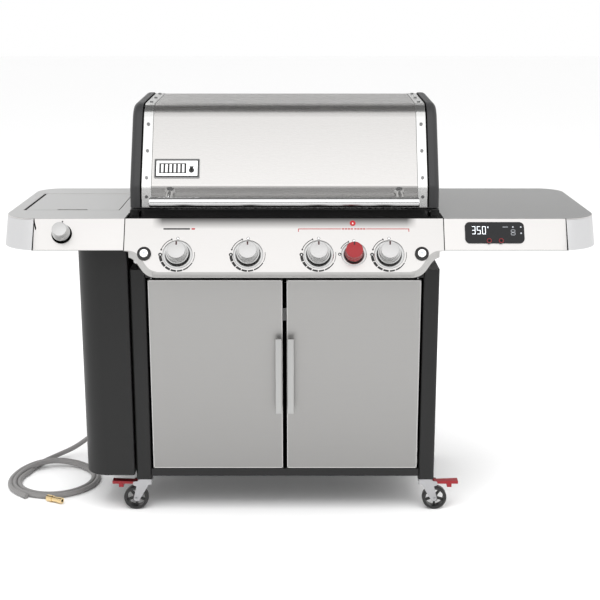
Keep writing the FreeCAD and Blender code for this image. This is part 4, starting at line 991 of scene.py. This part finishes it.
# ---- Seams and edges ----------------------------------------------------------------------------
class Lines:
    """Dark seams between panels, gap strips of the lid, painted shade along edges and painted highlights on the door
    hems.
    """

    @staticmethod
    def seams() -> None:
        """Joint lines down the fascia and back along the tables, and a painted shade line along the fascia's lower
        edges.
        """
        reach, wide, back, cap, edge = 0.0985, 0.0026, 0.090, 0.103, 0.0016
        panel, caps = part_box(PANEL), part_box("table_end_caps")
        for side, table, name in ((0, LEFT_TABLE, "left"), (1, RIGHT_TABLE, "right")):
            joint, outer = panel[side].x, caps[side].x + (cap, -cap)[side]
            for x, seam in ((joint, name + "_joint"), (outer, name + "_cap_joint")):
                line = Mark.bar(seam, 0.0, -reach / 2, wide, reach)
                Mark.lay([line], seam, FACE.matrix(x, 0.0), Finishes.SEAM_AND_SHADOW, table)
            top = Bench.block(name + "_joint_top", (joint - wide / 2, *FACE.origin.yz),
                              (joint + wide / 2, FACE.origin.y + back, FACE.origin.z + Mark.THICK))
            Maker.dress(top, Finishes.SEAM_AND_SHADOW, table)
            # Painted shade line along the fascia's lower edge.
            Mark.lay([Mark.bar(table, 0.0, -reach + edge / 2, abs(joint - outer), edge)], table + "_edge",
                     FACE.matrix((joint + outer) / 2, 0.0), Finishes.EDGE_SHADE, table)

    @staticmethod
    def corner_band(name: str, end: float, inward: float) -> None:
        """Grey band of painted shade that widens along an S-shaped lower corner of the panel, where it turns down.

        Args:
            name: The piece's name.
            end: X of the panel's end.
            inward: 1 where the panel lies to the right of that end, otherwise -1.
        """
        run, shoulder, bottom, extra = 0.097, 0.100, 0.1635, 0.0105
        poles = [Vector((0.0, shoulder)), Vector((0.55 * run, shoulder + 0.001)),
                 Vector((0.40 * run, bottom - 0.002)), Vector((run, bottom))]
        edge = interpolate_bezier(*poles, 33)
        inner = []
        for before, here, after in zip([edge[0], *edge], edge, [*edge[1:], edge[-1]]):
            along = (after - before).normalized()
            width = 0.0004 + extra * abs(along.y)
            inner.append(here + Vector((along.y, -along.x)) * width)
        places = [(place.x * inward, -place.y, 0.0) for place in (*edge, *reversed(inner))]
        obj = Bench.curve(name, "POLY", places, dimensions="2D", fill_mode="BOTH", extrude=Mark.THICK)
        obj.data.splines[0].use_cyclic_u = True
        Maker.seat(Bench.meshed(obj), FACE.matrix(end, 0.0, FLUSH), Finishes.PANEL_BAND_SHADE)

    @staticmethod
    def hems() -> None:
        """Painted highlights: lighter strips along the doors' folded edges."""
        for node in ("left_door", "right_door"):
            low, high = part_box(node)
            wide, gap, back, front = 0.0032, 0.001, low.y - 0.0002, low.y + 0.0003
            left, right, foot, head = low.x + gap, high.x - gap, low.z + gap, high.z - gap
            strips = ((left, foot, low.x + wide, head), (high.x - wide, foot, right, head),
                      (left, foot, right, low.z + wide), (left, high.z - wide, right, head))
            pieces = [Bench.block(node + "_hem", (a, back, b), (c, front, d)) for a, b, c, d in strips]
            Maker.dress(Bench.join(pieces, node + "_hem"), Finishes.DOOR_HEM_HIGHLIGHT, node)

    @staticmethod
    def profile() -> list[tuple[float, float]]:
        """Lid's outline (Y, Z) from its lower front edge over the brow to the back."""
        corners = ((-0.1524, 0.9465, 0.0), (*LID_KINK, 0.030), (-0.0164, 1.238, 0.072), (0.3326, 1.250, 0.048),
                   (0.3446, 1.010, 0.0))
        points = [Vector(corners[0][:2])]
        for (ay, az, _), (by, bz, radius), (cy, cz, _) in zip(corners, corners[1:], corners[2:]):
            corner = Vector((by, bz))
            back, on = (Vector((ay, az)) - corner).normalized(), (Vector((cy, cz)) - corner).normalized()
            half = back.angle(on) / 2
            centre = corner + (back + on).normalized() * (radius / math.sin(half))
            first = corner + back * (radius / math.tan(half)) - centre
            last = corner + on * (radius / math.tan(half)) - centre
            for i in range(9):
                points.append(centre + first.lerp(last, i / 8).normalized() * radius)
        points.append(Vector(corners[-1][:2]))
        return [tuple(point) for point in points]

    @classmethod
    def ribbon(cls, name: str, x: float, width: float, finish: Finish, lift: float) -> None:
        """Strip of a given width round the lid's outline."""
        obj = Bench.curve(name, "POLY", [(y, z, 0.0) for y, z in cls.profile()], dimensions="2D", fill_mode="NONE",
                          extrude=width / 2, bevel_depth=lift, bevel_resolution=1)
        stand = Matrix(((0.0, 0.0, 1.0, x), (1.0, 0.0, 0.0, 0.0), (0.0, 1.0, 0.0, 0.0), (0.0, 0.0, 0.0, 1.0)))
        Maker.dress(Bench.smooth(Bench.settle(Bench.meshed(obj), stand)), finish, "lid_skin")

    @staticmethod
    def wing(name: str, side: int) -> None:
        """Black filler between the cookbox and a table, under the cookbox's rim."""
        table, front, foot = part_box(PANEL)[side > 0].x, FACE.origin.y + 0.098, 0.9145
        near, far = sorted((table - side * 0.0270, table - side * 0.0010))
        block = Bench.block("wing_" + name, (near, front, foot), (far, front + 0.016, foot + 0.023))
        Maker.dress(block, Finishes.COOKBOX, "cookbox")

    @classmethod
    def build(cls) -> None:
        """Add every line."""
        cls.seams()
        cls.hems()
        for side, node in ((-1, "left"), (1, "right")):
            cls.corner_band(node + "_corner_band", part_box(PANEL)[side > 0].x, -side)
            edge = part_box("lid_trims")[side > 0].x
            cls.ribbon("lid_gap_" + node, edge + side * 0.0025, 0.0048, Finishes.SEAM_AND_SHADOW, 0.0006)
            # Painted shadow: a dark line along the trim's inner edge, where the proud trim shades the lid.
            cls.ribbon("trim_edge_" + node, edge - side * 0.0286, 0.0010, Finishes.EDGE_SHADE, 0.0004)
            cls.wing(node, side)


# ---- Hose ---------------------------------------------------------------------------------------
@dataclass
class Hose:
    """Gas hose that drops from the inlet and lies in a loose coil."""

    diameter: float = 0.016
    length: float = 3.05
    route: tuple[Point, ...] = (
        (-0.528, 0.189, 0.700), (-0.528, 0.189, 0.600), (-0.536, 0.204, 0.480), (-0.554, 0.217, 0.350),
        (-0.590, 0.221, 0.230), (-0.652, 0.219, 0.138), (-0.732, 0.224, 0.074), (-0.786, 0.232, 0.033),
        (-0.835, 0.217, 0.015), (-0.870, 0.182, 0.010), (-0.893, 0.140, 0.0085))
    coil_centre: tuple[float, float] = (-0.807, 0.009)
    entry_angle: float = 148.0
    end_angle: float = 986.0
    entry_radius: float = 0.118
    end_radius: float = 0.152
    step: float = 24.0
    rest_height: float = 0.0085
    wobble: float = 0.0018
    wobble_rate: float = 0.83
    crossing: float = 112.0
    first_climb: float = 0.015
    later_climb: float = 0.0135

    def turns(self) -> list[Point]:
        """Centre line of the coil: flat strands side by side, over the entering strand at the back."""
        points = []
        count = int((self.end_angle - self.entry_angle) / self.step)
        for i in range(count + 1):
            angle = self.entry_angle + self.step * i
            share = i / count
            radius = self.entry_radius + (self.end_radius - self.entry_radius) * share
            radius += self.wobble * math.sin(math.radians(angle * self.wobble_rate))
            past = angle - self.entry_angle
            over = max(0.0, math.cos(math.radians(angle % 360.0 - self.crossing))) ** 3 if past > 150.0 else 0.0
            level = self.rest_height + over * (self.first_climb if past < 500.0 else self.later_climb)
            points.append((self.coil_centre[0] + radius * math.cos(math.radians(angle)),
                           self.coil_centre[1] + radius * math.sin(math.radians(angle)), level))
        return points

    def build(self) -> Obj:
        obj = Bench.curve("gas_hose_run", "NURBS", [*self.route, *self.turns()], dimensions="3D",
                          bevel_depth=self.diameter / 2, bevel_resolution=6, use_fill_caps=True)
        spline = obj.data.splines[0]
        spline.order_u, spline.use_endpoint_u, spline.resolution_u = 3, True, 6
        return obj


class HoseSheath:
    """Grey rubber with a fine speckled bump and cloudy tone."""

    @staticmethod
    def material() -> Material:
        """Build the sheath's material on object coordinates."""
        graph = Graph("hose rubber")
        speck = graph.noise(EVEN, 260.0)
        cloud = graph.noise(EVEN, 9.0)
        bump = graph.node("ShaderNodeBump", {}, {"Strength": 0.10, "Distance": 0.0004, "Height": speck})
        colour = graph.blend(cloud, (0.185, 0.180, 0.178), (0.255, 0.248, 0.245))
        return graph.finish(graph.node("ShaderNodeBsdfPrincipled", {}, {
            "Base Color": colour, "Roughness": (speck - 0.5) * 0.12 + 0.44, "Normal": bump.outputs["Normal"]}))


# ---- Stage --------------------------------------------------------------------------------------
@dataclass
class Studio:
    """Pale floor, soft lights and the camera."""

    lens: float = 70.8
    pitch: float = math.radians(14.3)
    distance: float = 3.383
    eye_height: float = 1.548

    def floor(self) -> None:
        """One wide pale floor."""
        bpy.ops.mesh.primitive_plane_add(size=60.0, location=(0.0, 0.0, 0.0))
        self.paint("studio_floor", 0.97)

    def paint(self, name: str, level: float) -> Obj:
        """Name the plane just added, give it a matt grey and put it on the stage."""
        obj = bpy.context.active_object
        obj.name = name
        graph = Graph(name)
        obj.data.materials.append(graph.finish(graph.node("ShaderNodeBsdfPrincipled", {}, {
            "Base Color": grey(level), "Roughness": 0.9})))
        return obj

    def card(self, name: str, centre: Point, size: tuple[float, float], level: float, upright: bool = True) -> None:
        """Grey card that only shows in reflections.

        Args:
            name: The card's name.
            centre: Its centre.
            size: Its width along X and its other side.
            level: How light it is.
            upright: Whether it stands facing Y; otherwise it hangs level.
        """
        turn = (math.pi / 2, 0.0, 0.0) if upright else (0.0, 0.0, 0.0)
        bpy.ops.mesh.primitive_plane_add(size=1.0, location=centre, rotation=turn)
        bpy.context.active_object.scale = (size[0], size[1], 1.0)
        Bench.settle(bpy.context.active_object)
        obj = self.paint(name, level)
        obj.visible_camera = obj.visible_shadow = obj.visible_diffuse = False

    def light(self, name: str, place: Point, size: tuple[float, float], watts: float, glossy: bool = True) -> None:
        """Soft panel light that faces the grill.

        Args:
            name: The light's name.
            place: Its centre.
            size: Its sides.
            watts: Its power.
            glossy: Whether it shows in reflections.
        """
        data = bpy.data.lights.new(name, "AREA")
        data.shape, data.size, data.size_y, data.energy = "RECTANGLE", size[0], size[1], watts
        obj = Bench.link(name, data)
        obj.location = place
        obj.rotation_euler = (Vector((0.0, 0.0, 0.65)) - Vector(place)).to_track_quat("-Z", "Y").to_euler()
        obj.visible_glossy = glossy

    def build(self) -> None:
        """Set up the world, lights and camera."""
        scene = bpy.context.scene
        scene.world = bpy.data.worlds.new("studio")
        scene.world.use_nodes = True
        sky = scene.world.node_tree.nodes["Background"].inputs
        sky["Color"].default_value, sky["Strength"].default_value = (*EVEN, 1.0), 1.0
        self.floor()
        self.card("rear_card", (2.1, 6.0, 4.6), (6.8, 5.0), 0.35)
        self.card("ceiling_card", (0.0, 1.2, 4.2), (9.0, 3.4), 0.10, upright=False)
        self.card("front_card", (0.0, -6.5, 0.75), (14.0, 1.3), 0.08)
        self.light("key_panel", (0.0, -3.6, 3.9), (5.0, 2.2), 19.0)
        self.light("floor_panel", (0.0, -1.5, 5.0), (6.0, 5.0), 260.0, glossy=False)
        data = bpy.data.cameras.new("camera")
        data.lens, data.sensor_width = self.lens, 36.0
        camera = Bench.link("camera", data)
        camera.location = (0.0, FACE.origin.y - self.distance, self.eye_height)
        camera.rotation_euler = (math.pi / 2 - self.pitch, 0.0, 0.0)
        scene.camera = camera
        scene.view_settings.view_transform, scene.view_settings.look = "Standard", "None"


# ---- Parts that keep their CAD shape ------------------------------------------------------------
@dataclass(frozen=True)
class Kept:
    """A CAD node, or some of its faces, shown with its own shape and rounded edges."""

    node: str
    finish: Finish
    bevel: float = SOFT
    segments: int = 2
    name: Optional[str] = None
    keep: Optional[Test] = None

    def build(self) -> Obj:
        """Make the finished copy."""
        return Maker.refined(self.node, self.finish, self.bevel, self.segments, self.name, self.keep)


def on_band(face: Face) -> bool:
    """Whether a face of the control panel belongs to its upright lower band."""
    upright, band_top = 0.35, 0.846
    return abs(face.normal.z) < upright and face.center.z < band_top


def on_top(face: Face) -> bool:
    """Whether a face looks up."""
    return face.normal.z > 0.75


def off(test: Test) -> Test:
    """The opposite of a test."""
    return lambda face: not test(face)


# Parts split into two tones of one finish by which way their faces look: painted shade on the panel's lower band, the
# table tops and the end cap tops, painted light on the table fascias.
SHARES: tuple[Kept, ...] = tuple(Kept(node, finish, 0.0010, 2, name, keep) for node, name, finish, keep in (
    (PANEL, "control_panel_face", Finishes.PANEL, off(on_band)),
    (PANEL, "control_panel_band", Finishes.PANEL_BAND_SHADE, on_band),
    (LEFT_TABLE, "left_table_top", Finishes.TABLE, on_top),
    (LEFT_TABLE, "left_table_fascia", Finishes.FASCIA_LIT, off(on_top)),
    (RIGHT_TABLE, "right_table_top", Finishes.TABLE, on_top),
    (RIGHT_TABLE, "right_table_fascia", Finishes.FASCIA_LIT, off(on_top)),
    ("table_end_caps", "table_end_cap_tops", Finishes.CAST_TOP_SHADE, on_top),
    ("table_end_caps", "table_end_cap_skirts", Finishes.CAST_SILVER, off(on_top))))
KEPT: tuple[Kept, ...] = (
    Kept("frame_legs", Finishes.BLACK, SHARP), Kept("frame_rails", Finishes.BLACK, 0.001),
    Kept("bottom_shelf", Finishes.BLACK, SHARP), Kept("cabinet_panels", Finishes.BLACK, SHARP),
    Kept("tank_screen", Finishes.SCREEN, 0.0008), Kept("cookbox", Finishes.COOKBOX, 0.001),
    Kept("burner_tubes", Finishes.INNER, SHARP), Kept("heat_plates", Finishes.INNER, SHARP),
    Kept("cooking_grates", Finishes.IRON, 0.0015), Kept("grease_tray", Finishes.ALUMINIUM, SHARP),
    Kept("drip_pan", Finishes.ALUMINIUM, SHARP), Kept("warming_rack", Finishes.CHROME, 0.0006),
    Kept("gas_manifold", Finishes.PIPE, SHARP), Kept("panel_bezels", Finishes.WHEEL, 0.0004),
    Kept("table_brackets", Finishes.BLACK), Kept("side_burner", Finishes.BURNER, 0.0006),
    Kept("side_burner_lid", Finishes.TABLE, 0.0008, 3), Kept(DISPLAY, Finishes.GLASS, SHARP),
    Kept("lid_skin", Finishes.LID, SHARP), Kept("lid_end_caps", Finishes.CAP, 0.0006),
    Kept("lid_trims", Finishes.TRIM, 0.0004), Kept("lid_screws", Finishes.SCREW, 0.0018, 3),
    Kept("lid_handle", Finishes.LID_HANDLE, 0.0008, 3), Kept(BADGE_PLATE, Finishes.BADGE_RIM, 0.0008),
    Kept("hinge_pins", Finishes.SCREW, 0.0006), Kept("hose_fitting", Finishes.BRASS, 0.0008),
    *(Kept(side + "_door", Finishes.DOOR, 0.0010) for side in ("left", "right")),
    *(Kept(side + "_door_handle", Finishes.HANDLE_GREY, 0.0012, 3) for side in ("left", "right")),
    *(Kept("brake_lever_" + side, Finishes.BRAKE, 0.0012, 3) for side in ("left", "right")),
)
FAMILIES = (("stem", Finishes.BRASS, SHARP), ("sear_knob", Finishes.KNOB_RED, SOFT), ("knob", Finishes.KNOB, SOFT),
            ("button", Finishes.BUTTON, SHARP), ("fork", Finishes.ZINC, SOFT), ("wheel", Finishes.WHEEL, SOFT))
HOSE_NODES = ("gas_hose", "gas_hose_coil")


def show_kept() -> dict[str, Obj]:
    """Make the finished copy of every kept node.

    Returns:
        The pieces by their node's name.
    """
    pieces = {kept.node: kept.build() for kept in (*KEPT, *SHARES)}
    for node in frame["nodes"]:
        if node not in pieces and node not in HOSE_NODES:
            finish, bevel = next((finish, bevel) for part, finish, bevel in FAMILIES if part in node)
            pieces[node] = Kept(node, finish, bevel).build()
    return pieces


def main() -> None:
    """Build the whole grill and its studio."""
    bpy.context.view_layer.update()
    Studio().build()
    pieces = show_kept()
    Controls.build()
    Display.build()
    Badge.build()
    Lines.build()
    hose = Hose()
    run = hose.build()
    run.data.materials.append(HoseSheath.material())
    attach(run, "cart")
    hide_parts("gas_hose", "gas_hose_coil")


if __name__ == "__main__":
    main()
